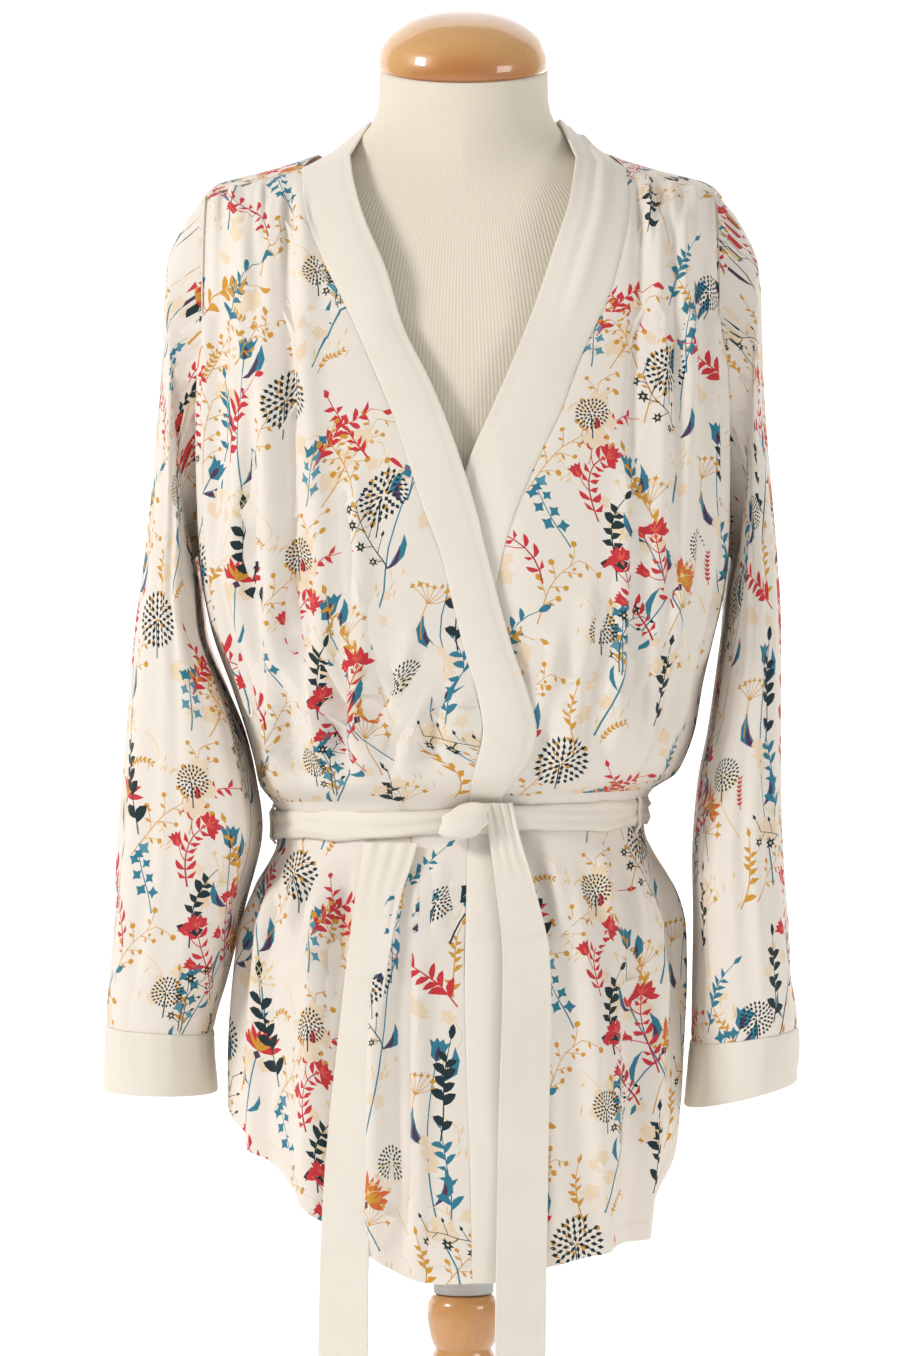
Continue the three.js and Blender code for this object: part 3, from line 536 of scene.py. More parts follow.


# %% [markdown]
# ## Fine creases
# The large folds are in the drape already. Cloth this light also breaks into small creases where
# it is gathered: under the shoulder seams, above the belt and below it. A crease is a line in the
# front or back view with a width, a height (below zero is a trough) and soft ends. The main ones
# are listed one by one, and a comb of uneven ones fills in the gathers of a seam.

# %% Crease lines
FULLNESS = 1.7


class Crease:
    """One soft ridge or trough along a line of (x, z) points, seen from the front or back."""

    def __init__(self, points, wide, high, fade=35.0):
        points = sorted(points, key=lambda p: p[1])
        self.zs = [p[1] for p in points]
        self.xs = [p[0] for p in points]
        self.wide = wide
        self.high = high
        self.fade = fade

    def at(self, x, z):
        line = np.interp(z, self.zs, self.xs)
        ends = smooth((z - self.zs[0]) / self.fade) * smooth((self.zs[-1] - z) / self.fade)
        return self.high * ends * np.exp(-((x - line) / self.wide) ** 2)


def creased(lines, x, z):
    """The sum of all creases at places of a view."""
    out = np.zeros(np.broadcast(x, z).shape)
    for line in lines:
        out += line.at(x, z)
    return out * FULLNESS


def comb(rng, low_x, high_x, step, top, bottom, wide, high, centre=0.0, spread=0.0):
    """A row of uneven creases, such as gathers under a seam; spread fans them from a centre."""
    lines = []
    x = low_x + step * 0.5
    while x < high_x:
        jog = rng.uniform(-0.3, 0.3) * step
        start = top + rng.uniform(-6, 6)
        end = bottom + rng.uniform(-0.5, 0.5) * abs(top - bottom) * 0.7
        fan = spread * (x - centre)
        points = [(x + jog, start), (x + jog + fan * 0.5, (start + end) / 2), (x + jog + fan, end)]
        tall = high * rng.uniform(0.5, 1.2) * (1 if len(lines) % 2 else -0.8)
        lines.append(Crease(points, wide * rng.uniform(0.7, 1.3), tall, fade=abs(start - end) * 0.4))
        x += step * rng.uniform(0.75, 1.3)
    return lines

# %% [markdown]
# ## The cut pieces as grids
# A front panel runs from its band seam to the side seam, and from the hem up to the shoulder
# seam, which lies a little in front of the shoulder. The back panel comes over the shoulder to
# meet it. Every grid below has rows upwards and columns across, in millimetres.

# %% Rows shared by fronts and back
LEVEL_ROWS = np.concatenate([np.linspace(994, 1050, 15), np.linspace(1057, 1345, 41)])
SKIRT_ROWS = np.linspace(1.0, 0.0, 40)[:-1]
CAP_STEPS = np.linspace(0, 1, 24)[1:]
skirt_count = len(SKIRT_ROWS)
level_count = skirt_count + len(LEVEL_ROWS)


def heights_for(turn):
    """Row heights at each place of a grid: hem to belt in parts, then level rows."""
    hem = hem_height((np.degrees(turn) + 540) % 360 - 180)
    skirt = 994 + (hem[:skirt_count] - 994) * SKIRT_ROWS[:, None]
    level = np.repeat(LEVEL_ROWS[:, None], turn.shape[1], axis=1)
    return np.concatenate([skirt, level], axis=0)


def armhole_half(z):
    """Half the armhole's opening, front to back, at a height."""
    drop = np.maximum(0, ARMHOLE_Z - z) / (ARMHOLE_Z - UNDERARM_Z)
    half = ARMHOLE_HALF * np.sqrt(np.maximum(0, 1 - drop * drop))
    return np.where(z <= UNDERARM_Z, 0.0, half)


def side_turn(z, front):
    """The turn of the side seam, or of the armhole's edge above the underarm."""
    depth = front_depth(z) if front else back_depth(z)
    part = (armhole_half(z) / depth) ** (squareness(z) / 2)
    return np.arccos(part) if front else math.pi - np.arccos(part)


# %% Front panels
def no_sink(x, z):
    """The right front lies on top and sinks nowhere."""
    return np.zeros(np.broadcast(x, z).shape)


def under_sink(x, z):
    """The left front lies a little deeper where the right front covers it."""
    edge = -top_band[1](z)
    return 5.0 * smooth((edge + 24 - x) / 20)


def front_grid(side, band, sink, lines, columns=70):
    parts = np.linspace(0, 1, columns)[None, :]
    turn = np.zeros((level_count, columns))
    z = heights_for(turn)
    for _ in range(4):
        start = turn_at(side * band[0](z), z)
        turn = start + (side * side_turn(z, True) - start) * parts
        z = heights_for(turn)
    flat = skin(turn, z)
    low = skin(turn, z, creased(lines, flat[..., 0], flat[..., 2]) - sink(flat[..., 0], z))
    edge = flat[-1]
    share = (edge[:, 0] - edge[0, 0]) / (edge[-1, 0] - edge[0, 0])
    rows = []
    for step in CAP_STEPS:
        seam = edge[0, 0]
        for _ in range(4):
            seam = side * float(band[0](cap(np.array(seam), np.array(step * FORWARD))[2]))
        x = seam + (edge[-1, 0] - seam) * share
        rise = np.full(columns, step * FORWARD)
        plain = cap(x, rise)
        rows.append(cap(x, rise, creased(lines, plain[..., 0], plain[..., 2])
                        - sink(plain[..., 0], plain[..., 2])))
    return np.concatenate([low, np.array(rows)], axis=0)


# %% Back panel
def cap_end(x):
    """How far over the shoulder the back goes: to its neckline, or to the forward seam."""
    seam = 110.0
    away = abs(x)
    if away > seam:
        return FORWARD
    if away > NECK_SEAM[0]:
        return math.pi / 2 + (FORWARD - math.pi / 2) * (away - NECK_SEAM[0]) / (seam - NECK_SEAM[0])
    y = NECK_SEAM[1] * math.sqrt(1 - (x / NECK_SEAM[0]) ** 2)
    low = cap(np.array(float(x)), np.array(math.pi))
    return math.pi - math.acos(y / (low[1] - RIDGE_Y))


def back_grid(lines, columns=99, over=30):
    parts = np.linspace(-1, 1, columns)[None, :]
    turn = np.full((level_count, columns), math.pi)
    z = heights_for(turn)
    for _ in range(4):
        turn = math.pi - parts * (math.pi - side_turn(z, False))
        z = heights_for(turn)
    flat = skin(turn, z)
    low = skin(turn, z, creased(lines, flat[..., 0], flat[..., 2]))
    x = flat[-1, :, 0]
    ends = np.array([cap_end(float(value)) for value in x])
    rows = []
    for step in np.linspace(0, 1, over)[1:]:
        rise = math.pi - step * (math.pi - ends)
        plain = cap(x, rise)
        on_back = smooth((plain[..., 1] - RIDGE_Y) / 25)
        rows.append(cap(x, rise, creased(lines, plain[..., 0], plain[..., 2]) * on_back))
    return np.concatenate([low, np.array(rows)], axis=0)


# %% Neckband grids
def band_grid(side, band, sink, front, back, rise_out, steps=15):
    """A band follows a front's edge up to the shoulder and then goes round the neck."""
    parts = np.linspace(0, 1, steps)
    seam = front[:, 0]
    z = seam[:, 2] - np.where(seam[:, 2] < UNDERARM_Z, belt_drop(seam[:, 0], seam[:, 2]), 0)
    edge = side * band[1](z)
    edge_z = band[2](z)
    x = seam[:, 0][:, None] + (edge - seam[:, 0])[:, None] * parts
    height = z[:, None] + (edge_z - z)[:, None] * parts
    rows = on_front(x, height, rise_out(parts[None, :], height) - sink(x, height))
    rows[:, 0] = seam
    top = back[-1]
    inside = (side * top[:, 0] > -1e-6) & (np.abs(top[:, 0]) < NECK_SEAM[0] + 1)
    ends = top[inside]
    ends = ends[np.argsort(-np.abs(ends[:, 0]))]
    round_turn = np.arccos(np.minimum(1, np.abs(ends[:, 0]) / NECK_SEAM[0]))
    x_edge = side * NECK_EDGE[0] * np.cos(round_turn)
    y_edge = RIDGE_Y + NECK_EDGE[1] * np.sin(round_turn)
    x = ends[:, 0][:, None] + (x_edge - ends[:, 0])[:, None] * parts
    y = np.maximum(RIDGE_Y, ends[:, 1][:, None] + (y_edge - ends[:, 1])[:, None] * parts)
    collar = on_back_cap(x, y, rise_out(parts[None, :], np.full(x.shape, 1500.0)))
    collar[:, 0] = ends
    return np.concatenate([rows, collar], axis=0)


# %% [markdown]
# ### Sleeves as rings
# A sleeve is a stack of rings. The first lies on the armhole's edge and the last ends the cuff.
# Each has an outer and an inner place in the front view, with half its depth and its middle.

# %% Sleeve tables and rings
SLEEVE_RIGHT = [
    (194, 1421, 189, 1189, 50, 0), (202, 1390, 186, 1182, 61, 2), (205, 1350, 184, 1174, 67, 4),
    (207, 1297, 182, 1163, 72, 5), (209, 1245, 180, 1148, 77, 5), (214, 1196, 176, 1125, 81, 4),
    (221, 1147, 163, 1097, 84, 3), (226, 1097, 150, 1067, 86, 2), (230, 1046, 142, 1034, 86, 0),
    (234, 992, 138, 996, 84, -2), (238, 942, 149, 950, 78, -3), (242, 902, 161, 901, 70, -4),
    (244, 868, 171, 863, 61, -5), (245, 824, 169, 822, 55, -6),
]
SLEEVE_LEFT = [
    (193, 1421, 189, 1189, 50, 0), (200, 1388, 186, 1182, 61, 2), (201, 1346, 184, 1174, 67, 4),
    (203, 1296, 182, 1163, 72, 5), (207, 1243, 180, 1148, 77, 5), (211, 1196, 177, 1125, 80, 4),
    (214, 1147, 173, 1098, 82, 2), (214, 1096, 168, 1066, 84, 0), (214, 1045, 161, 1032, 84, -3),
    (215, 991, 157, 987, 82, -6), (219, 938, 157, 937, 77, -9), (223, 897, 156, 893, 70, -12),
    (226, 867, 155, 857, 61, -14), (226, 831, 151, 813, 55, -16),
]
SLEEVE_FOLDS = [(42, 22, 5), (88, 20, -4), (128, 22, 5), (215, 24, 4), (262, 20, -4),
                (312, 24, 5)]


def armhole_ring(front, back_line):
    """Points round the armhole: over the ridge, down the front, and up the back."""
    edge = front[:, -1]
    under_front = skirt_count + int(np.argmin(np.abs(LEVEL_ROWS - UNDERARM_Z)))
    down = edge[under_front:][::-1]
    up = back_line[under_front + 1:]
    over = up[up[:, 1] < RIDGE_Y + 0.5]
    behind = up[up[:, 1] >= RIDGE_Y + 0.5]
    return np.concatenate([over, down, behind], axis=0)


def sleeve_grid(side, rows, front, back_line, around=109, down=105):
    """Rings from the armhole to the cuff's edge, cut along the inner line as a sleeve is."""
    ring = armhole_ring(front, back_line)
    low = ring[:, 2].min()
    high = ring[:, 2].max()
    under = int(np.argmin(ring[:, 2]))
    angle = np.arccos(np.clip((2 * ring[:, 2] - low - high) / (high - low), -1, 1))
    angle[under + 1:] = 2 * math.pi - angle[under + 1:]
    order = np.argsort(angle)
    turns = np.linspace(-math.pi, math.pi, around)
    wrapped = np.concatenate([angle[order] - 2 * math.pi, angle[order], angle[order] + 2 * math.pi])
    first = np.stack([np.interp(turns, wrapped, np.tile(ring[order, k], 3)) for k in range(3)],
                     axis=-1)
    stations = np.arange(len(rows), dtype=float)
    out, out_z, inner, in_z, deep, mid_y = [Curve(stations, [row[k] for row in rows])
                                            for k in range(6)]
    drop = np.linspace(0, len(rows) - 1, down)[:, None]
    c = power(np.cos(turns), 0.9)[None, :]
    s = power(np.sin(turns), 0.9)[None, :]
    fold = np.zeros((1, around))
    for place, wide, tall in SLEEVE_FOLDS:
        off = np.abs(np.degrees(turns) % 360 - place)[None, :] / wide
        fold += tall * hump(off)
    away = len(rows) - 1 - drop
    swell = 1 + (fold / 60) * smooth(drop / 5) * smooth(away / 4)
    half_x = (1 + c * swell) / 2
    x = inner(drop) + (out(drop) - inner(drop)) * half_x
    z = in_z(drop) + (out_z(drop) - in_z(drop)) * half_x
    y = mid_y(drop) - s * deep(drop) * swell
    grid = np.stack([side * x, y, z], axis=-1)
    join = smooth(drop / 0.9)[..., None]
    grid = first[None] * (1 - join) + grid * join
    grid[0] = first
    return grid


# %% Directions away from the body
def normals_of(grid, closed=False):
    """Unit normals of a grid; a closed one has its first column again as its last."""
    if closed:
        wrapped = np.concatenate([grid[:, -2:-1], grid, grid[:, 1:2]], axis=1)
        across = wrapped[:, 2:] - wrapped[:, :-2]
    else:
        across = np.gradient(grid, axis=1)
    up = np.gradient(grid, axis=0)
    normal = np.cross(across, up)
    return normal / np.maximum(np.linalg.norm(normal, axis=-1, keepdims=True), 1e-9)


# %% [markdown]
# ## Inks and motifs
# The print is a meadow of ordinary flowers drawn small: leafy sprigs, bells, daisies on long
# stems, seed heads, berry sprays and little stars over a pale ghost layer. Each motif below is
# drawn from leaves, strokes and dots with its own random bends, and the layout is made up here.

# %% Inks
INKS = {
    "ground": paint(250, 243, 234),
    "peach": paint(249, 230, 203),
    "butter": paint(243, 217, 165),
    "mustard": paint(222, 164, 62),
    "red": paint(216, 62, 70),
    "deep red": paint(186, 42, 56),
    "coral": paint(232, 98, 88),
    "orange": paint(226, 116, 62),
    "teal": paint(58, 134, 160),
    "blue": paint(96, 160, 182),
    "night": paint(38, 56, 62),
    "plum": paint(92, 60, 92),
}
print(len(INKS), "inks")


# %% Marks: a leaf, a line, a dot
dice = np.random.default_rng(20)
shapes = []


def near(value, part=0.2):
    return value * dice.uniform(1 - part, 1 + part)


def add(points, ink):
    shapes.append((np.array(points, float), ink))


def leaf(at, angle, length, width, ink, bend=0.0):
    """A pointed leaf from its stalk end, its middle bowed by bend."""
    small = length < 9.0
    across = np.array([0.0, 1.0, 0.0] if small else [0.0, 0.62, 1.0, 0.72, 0.0])
    along = np.array([0.0, 0.45, 1.0] if small else [0.0, 0.2, 0.48, 0.78, 1.0]) * length
    bow = bend * length * (along / length) * (1 - along / length) * 4
    upper = np.stack([along, bow + across * width / 2], axis=1)
    lower = np.stack([along, bow - across * width / 2], axis=1)[1:-1][::-1]
    set_down(np.concatenate([upper, lower]), at, angle, ink)


def set_down(points, at, angle, ink):
    c = math.cos(angle)
    s = math.sin(angle)
    spun = np.stack([points[:, 0] * c - points[:, 1] * s, points[:, 0] * s + points[:, 1] * c],
                    axis=1)
    add(spun + np.array(at), ink)


def path(at, angle, length, curl=0.0, wave=0.0, steps=9):
    """A bending line: its points and its heading at each."""
    part = np.linspace(0, 1, steps)
    heading = angle + curl * part + wave * np.sin(part * 5.0)
    step = length / (steps - 1)
    xs = at[0] + np.concatenate([[0], np.cumsum(np.cos(heading[:-1]) * step)])
    ys = at[1] + np.concatenate([[0], np.cumsum(np.sin(heading[:-1]) * step)])
    return np.stack([xs, ys], axis=1), heading


def stroke(line, heading, thick, thin, ink):
    width = np.linspace(thick, thin, len(line))[:, None] / 2
    side = np.stack([-np.sin(heading), np.cos(heading)], axis=1) * width
    add(np.concatenate([line + side, (line - side)[::-1]]), ink)


def stalk(pen, *way):
    """A bending line drawn with a pen: its thickness at both ends, and its ink."""
    line, heading = path(*way)
    stroke(line, heading, *pen)
    return line, heading


def dot(at, radius, ink):
    turn = np.linspace(0, 2 * math.pi, 6, endpoint=False) + dice.uniform(0, 1)
    ring = np.stack([np.cos(turn), np.sin(turn)], axis=1) * radius
    add(ring + np.array(at), ink)


def rosette(at, radius, petals, ink, waist=0.45):
    """An open flower seen flat: rounded petals round a waist."""
    start = dice.uniform(0, 6)
    petal = [waist, 1.0] if radius < 7.0 else [waist, 0.92, 1.0, 0.92]
    corners = petals * len(petal)
    turn = start + np.arange(corners) * 2 * math.pi / corners
    reach = radius * np.tile(petal, petals) * dice.uniform(0.9, 1.1, corners)
    add(np.stack([np.cos(turn) * reach, np.sin(turn) * reach], axis=1) + at, ink)


# %% [markdown]
# ### Sprigs and red flowers
# A sprig is one bending stem with pairs of pointed leaves that get smaller upwards. The red
# branches carry small bells on side twigs and end in a ragged blossom.

# %% Sprigs and red flowers
def leafy_sprig(at, angle, size, ink, pairs, plump):
    line, heading = stalk((1.1, 0.5, ink), at, angle, size, dice.uniform(-0.9, 0.9), 0.12)
    for k in range(pairs):
        part = 0.22 + 0.78 * k / pairs
        i = min(int(part * 8), 8)
        long = size * near(0.19 - 0.06 * part)
        for side in (-1, 1):
            if dice.random() < 0.12:
                continue
            lean = heading[i] + side * near(0.85)
            root = line[i] + np.array([math.cos(heading[i]), math.sin(heading[i])]) * side * 1.5
            leaf(root, lean, long, long * plump, ink, side * -0.12)
    leaf(line[-1], heading[-1], size * 0.16, size * 0.07, ink)


def bell(at, angle, size, ink, heart):
    """A nodding bell flower with a notched rim."""
    rim = np.array([[0, 0.0], [0.25, 0.3], [0.62, 0.34], [1.0, 0.5], [0.86, 0.26], [1.06, 0.14],
                    [0.88, 0.0], [1.06, -0.14], [0.86, -0.26], [1.0, -0.5], [0.62, -0.34],
                    [0.25, -0.3]])
    set_down(rim * size, at, angle, ink)
    leaf(at, angle, size * 0.7, size * 0.22, heart)


def blossom(at, angle, size, ink, heart):
    """A ragged double flower: a fan of notched petals over a darker heart."""
    for k, lean in enumerate(np.linspace(-1.5, 1.5, 7)):
        leaf(at, angle + lean, size * near(0.62 if k % 2 else 0.75),
             size * 0.3, ink, dice.uniform(-0.1, 0.1))
    for lean in (-0.7, 0.0, 0.6):
        leaf(at, angle + lean, size * near(0.42), size * 0.13, heart)
    leaf(at, angle + math.pi, size * 0.3, size * 0.2, heart)


def red_branch(at, angle, size):
    line, heading = stalk((1.2, 0.6, "deep red"), at, angle, size, dice.uniform(-1.4, 1.4), 0.15)
    for i in range(1, 9):
        for side in (-1, 1):
            lean = heading[i] + side * near(0.9)
            if i in (3, 6) and side > 0:
                tip, way = stalk((0.8, 0.5, "red"), line[i], lean, size * 0.22, side * -0.6,
                                 0.0, 5)
                bell(tip[-1], way[-1] + 0.3, near(10.0), "red", "coral")
            else:
                long = near(8.5)
                leaf(line[i], lean, long, long * 0.36, "red", side * 0.14)
    blossom(line[-1], heading[-1], near(17.0), "red", "coral")


# %% [markdown]
# ### Flowers on long stems
# These give the print its height: a daisy head, or an iris-like bell, on a stem of over ten
# centimetres, with narrow leaves of two colours as if they were folded.

# %% Flowers on long stems
def daisy(at, angle, size, length):
    """A daisy or tulip head on a long stem with strap leaves."""
    line, heading = path(at, angle, length, dice.uniform(-0.5, 0.5), 0.1, 12)
    stem = dice.choice(["teal", "plum", "night"])
    stroke(line, heading, 1.3, 0.9, stem)
    for i, side in ((3, 1), (6, -1), (8, 1)):
        long = near(21.0)
        leaf(line[i], heading[i] + side * near(0.5), long, long * 0.2,
             dice.choice(["teal", "plum"]), side * 0.2)
    head = line[-1]
    outer = dice.choice(["orange", "red"])
    for lean in np.linspace(-1.25, 1.25, 8):
        leaf(head, heading[-1] + lean, size * near(0.95), size * 0.24, outer)
    for lean in np.linspace(-0.8, 0.8, 4):
        leaf(head, heading[-1] + lean, size * near(0.62), size * 0.15, "mustard")
    leaf(head, heading[-1] + math.pi, size * 0.34, size * 0.3, "plum")


def strap_flower(at, angle, length):
    """A long thin stem with folded two-coloured leaves, as an iris has."""
    line, heading = stalk((1.2, 0.8, "teal"), at, angle, length, dice.uniform(-0.4, 0.4), 0.18, 12)
    for i, side in ((4, -1), (7, 1), (10, -1)):
        long = near(25.0)
        lean = heading[i] + side * near(0.45)
        leaf(line[i], lean, long, long * 0.28, "teal", side * 0.25)
        leaf(line[i], lean + side * 0.1, long * 0.7, long * 0.13, "plum", side * 0.25)
    bell(line[-1], heading[-1], 15.0, "teal", "plum")


# %% [markdown]
# ### Sprays, umbels and seed heads
# Fine twigs with dots, rays that end in tiny flowers, and round heads built of drops. Thin lines
# are drawn as slim closed shapes too, because only an area can hold ink.

# %% Sprays, umbels and seed heads
def berry_spray(at, angle, size, ink):
    line, heading = stalk((0.8, 0.4, ink), at, angle, size, dice.uniform(-0.8, 0.8), 0.1)
    for i in range(2, 9):
        side = 1 if i % 2 else -1
        twig, way = stalk((0.6, 0.4, ink), line[i], heading[i] + side * near(0.7),
                          size * near(0.24), side * 0.5, 0.0, 4)
        dot(twig[-1], near(1.9), ink)
        leaf(twig[1], way[1] + side * 0.9, 5.0, 2.2, ink)
        if i % 3 == 0:
            dot(twig[2] + np.array([0, 2.5]), 1.3, ink)


def umbel(at, angle, size, ink):
    """A flat head of little flowers on rays from one point, like wild parsley."""
    line, heading = stalk((0.9, 0.6, ink), at, angle, size * 0.6, dice.uniform(-0.3, 0.3), 0.05, 6)
    for lean in np.linspace(-0.95, 0.95, 7):
        ray, _ = stalk((0.55, 0.4, ink), line[-1], heading[-1] + lean, size * near(0.36, 0.1),
                       lean * 0.25, 0.0, 4)
        rosette(ray[-1], near(2.6), 4, ink)


def seed_head(at, radius, stem):
    """A dark dandelion-like head of drops set round a centre."""
    stalk((0.9, 0.7, "night"), np.array(at) - np.array([0, stem]), math.pi / 2, stem, 0.15, 0.0, 5)
    for ring, count in ((0.08, 6), (0.3, 12), (0.52, 18), (0.74, 24)):
        start = dice.uniform(0, 1)
        for k in range(count):
            turn = start + 2 * math.pi * k / count
            root = np.array(at) + np.array([math.cos(turn), math.sin(turn)]) * radius * ring
            leaf(root, turn, radius * 0.25, radius * 0.14, "night")


def star_twig(at, angle, size):
    line, heading = stalk((0.8, 0.4, "night"), at, angle, size, dice.uniform(-1.2, 1.2), 0.2)
    for i in range(1, 9):
        side = 1 if i % 2 else -1
        twig, way = stalk((0.6, 0.4, "night"), line[i], heading[i] + side * near(0.9),
                          size * near(0.16), 0.0, 0.0, 4)
        if i % 2:
            rosette(twig[-1], near(3.7), 6, "night", 0.5)
            dot(twig[-1], 1.0, "butter")
        else:
            leaf(twig[-1], way[-1], 4.5, 2.2, "night")


def blue_cluster(at, angle, size):
    line, heading = stalk((1.0, 0.5, "teal"), at, angle, size, dice.uniform(-0.6, 0.6), 0.1)
    for i in range(2, 9):
        side = 1 if i % 2 else -1
        spot = line[i] + np.array([math.cos(heading[i] + side), math.sin(heading[i] + side)]) * 5
        rosette(spot, near(4.6), 4, dice.choice(["teal", "teal", "blue"]), 0.5)
    rosette(line[-1], 4.2, 4, "teal", 0.5)


def ear(at, angle, size, ink):
    """A short curved ear of grain."""
    line, heading = stalk((0.7, 0.4, ink), at, angle, size, dice.uniform(-1.6, 1.6), 0.0, 8)
    for i in range(1, 8):
        for side in (-1, 1):
            leaf(line[i], heading[i] + side * 0.6, size * 0.17, size * 0.075, ink)


# %% [markdown]
# ### The pale layer
# Under the bright inks lies a faint one: soft blots of peach and short dry strokes.

# %% The pale layer
def ghost(at, size):
    """A faint flower of the pale layer."""
    for _ in range(4):
        spot = np.array(at) + dice.uniform(-0.5, 0.5, 2) * size
        rosette(spot, size * dice.uniform(0.14, 0.26), 5, "peach", 0.7)


def hatching(at, size, ink):
    """Rows of short pale strokes, as a dry brush leaves."""
    for _ in range(6):
        spot = np.array(at) + dice.uniform(-0.5, 0.5, 2) * size
        leaf(spot, 1.1 + dice.uniform(-0.5, 0.5), near(7.0), 1.5, ink)
    stalk((0.6, 0.5, ink), at, dice.uniform(0.8, 2.2), size, 2.4, 0.3, 12)


# %% [markdown]
# ## One repeat of the print
# The repeat is 320 by 340 millimetres and every second column of it drops by half, as screen
# prints do to hide their tiling. Pale ghosts go down first, then sprays, then stems and leaves,
# and the red flowers and dark seed heads last, which is also the order of the printing screens.

# %% Layout of the repeat
REPEAT = (320.0, 340.0)


def scatter(columns, rows, spread=0.32):
    """Places over the repeat: a loose grid with every other column moved by half."""
    step = np.array([REPEAT[0] / columns, REPEAT[1] / rows])
    places = []
    for c in range(columns):
        for r in range(rows):
            jog = dice.uniform(-spread, spread, 2)
            places.append((np.array([c, r + 0.5 * (c % 2)]) + 0.5 + jog) * step)
    dice.shuffle(places)
    return places


up = math.pi / 2
for place in scatter(5, 5):
    ghost(place, near(30.0))
for place in scatter(5, 5):
    hatching(place, near(26.0), "butter")
for k, place in enumerate(scatter(6, 5)):
    lean = up + dice.uniform(-0.7, 0.7)
    if k % 2 == 0:
        berry_spray(place, lean, near(52.0), "mustard")
    elif k % 4 == 1:
        umbel(place, lean, near(46.0), dice.choice(["butter", "mustard"]))
    else:
        leafy_sprig(place, lean, near(44.0), "mustard", 5, 0.42)
for k, place in enumerate(scatter(5, 4)):
    lean = up + dice.uniform(-0.45, 0.45)
    if k % 4 == 0:
        strap_flower(place, lean, near(135.0))
    elif k % 4 == 1:
        blue_cluster(place, lean, near(42.0))
    elif k % 4 == 2:
        leafy_sprig(place, lean, near(60.0), "teal", 5, 0.4)
    else:
        daisy(place, lean, 19.0, near(110.0))
for k, place in enumerate(scatter(6, 5)):
    lean = up + dice.uniform(-0.9, 0.9)
    if k % 6 == 0:
        leafy_sprig(place, lean, near(64.0), "night", 5, 0.56)
    elif k % 6 == 3:
        leafy_sprig(place, lean, near(52.0), "mustard", 5, 0.46)
    elif k % 6 == 1:
        star_twig(place, lean, near(56.0))
    elif k % 6 == 2:
        red_branch(place, lean, near(60.0))
    elif k % 6 == 5:
        leafy_sprig(place, lean, near(56.0), "red", 6, 0.4)
    else:
        ear(place, lean, near(24.0), dice.choice(["red", "mustard"]))
for k, place in enumerate(scatter(3, 4, 0.3)):
    if k % 3 == 0:
        seed_head(place, near(19.0, 0.15), 26.0)
    elif k % 3 == 1:
        red_branch(place, up + dice.uniform(-0.6, 0.6), near(52.0))
    else:
        seed_head(place, near(12.0, 0.1), 18.0)
corner_count = sum(len(points) for points, ink in shapes)
print("one repeat has", len(shapes), "shapes and", corner_count, "corners")

# %% [markdown]
# ## Printing the cloth
# Cloth is printed flat and sewn afterwards, so the motifs are laid on each piece's flat cut:
# millimetres along the rows and up the columns of its grid. The outlines of the motifs are then
# cut into the sheet itself, each facet takes the ink of the topmost motif over it, and the
# whole sheet goes back onto the drape. Folds bend the flowers exactly as they bend the cloth.

# %% Flat places of a draped grid
def lengths(grid, axis):
    """The way gone at each point, along the rows (axis 1) or up the columns (axis 0)."""
    steps = np.linalg.norm(np.diff(grid, axis=axis), axis=2)
    start = np.zeros_like(steps.take([0], axis))
    return np.concatenate([start, np.cumsum(steps, axis=axis)], axis=axis)


def flat_places(grid, level_row, upright):
    """How far each point lies along its row and up its column, once the cloth is laid flat."""
    s = lengths(grid, 1)
    s = s + upright(grid, s)[:, None]
    t = lengths(grid, 0)
    return s, t - t[level_row]


def between(table, row, column):
    """Values of a grid at fractional rows and columns."""
    r = np.clip(np.floor(row).astype(int), 0, table.shape[0] - 2)
    c = np.clip(np.floor(column).astype(int), 0, table.shape[1] - 2)
    fr = row - r
    fc = column - c
    if table.ndim == 3:
        fr = fr[:, None]
        fc = fc[:, None]
    low = table[r, c] * (1 - fc) + table[r, c + 1] * fc
    high = table[r + 1, c] * (1 - fc) + table[r + 1, c + 1] * fc
    return low * (1 - fr) + high * fr


def reaching(at, xs, ys):
    """Straight interpolation that goes on past both ends."""
    found = np.interp(at, xs, ys)
    first = (ys[1] - ys[0]) / (xs[1] - xs[0])
    last = (ys[-1] - ys[-2]) / (xs[-1] - xs[-2])
    found = np.where(at < xs[0], ys[0] + (at - xs[0]) * first, found)
    return np.where(at > xs[-1], ys[-1] + (at - xs[-1]) * last, found)


def columns_for(s_table, rows, values):
    """Fractional columns at which rows reach the given places along them."""
    rows = np.clip(rows, 0, len(s_table) - 1.001)
    found = np.zeros(len(values))
    base = rows.astype(int)
    count = np.arange(s_table.shape[1])
    for r in np.unique(base):
        here = base == r
        part = rows[here] - r
        low = reaching(values[here], s_table[r], count)
        high = reaching(values[here], s_table[r + 1], count)
        found[here] = low * (1 - part) + high * part
    return found


def rows_for(t, column, values):
    """Fractional rows at which columns reach the given heights."""
    rows, columns = t.shape
    column = np.clip(column, 0, columns - 1)
    row = np.interp(values, t.mean(axis=1), np.arange(rows))
    for _ in range(8):
        slope = between(t, np.clip(np.floor(row) + 1, 1, rows - 1), column) - between(
            t, np.clip(np.floor(row), 0, rows - 2), column)
        row = np.clip(row + (values - between(t, row, column)) / np.maximum(slope, 0.2),
                      0, rows - 1)
    return row


# %% Motifs over one piece
def motifs_over(s, t, offset):
    """The repeat's shapes wherever they fall on a piece."""
    low = np.array([s.min(), t.min()])
    high = np.array([s.max(), t.max()])
    corners = []
    inks = []
    first = np.floor((low - offset) / REPEAT).astype(int) - 1
    last = np.ceil((high - offset) / REPEAT).astype(int) + 1
    for i in range(first[0], last[0] + 1):
        for j in range(first[1], last[1] + 1):
            shift = offset + np.array([i * REPEAT[0], (j + 0.5 * (i % 2)) * REPEAT[1]])
            for points, ink in shapes:
                placed = points + shift
                if (placed.max(axis=0) > low).all() and (placed.min(axis=0) < high).all():
                    corners.append(placed)
                    inks.append(ink)
    return corners, inks


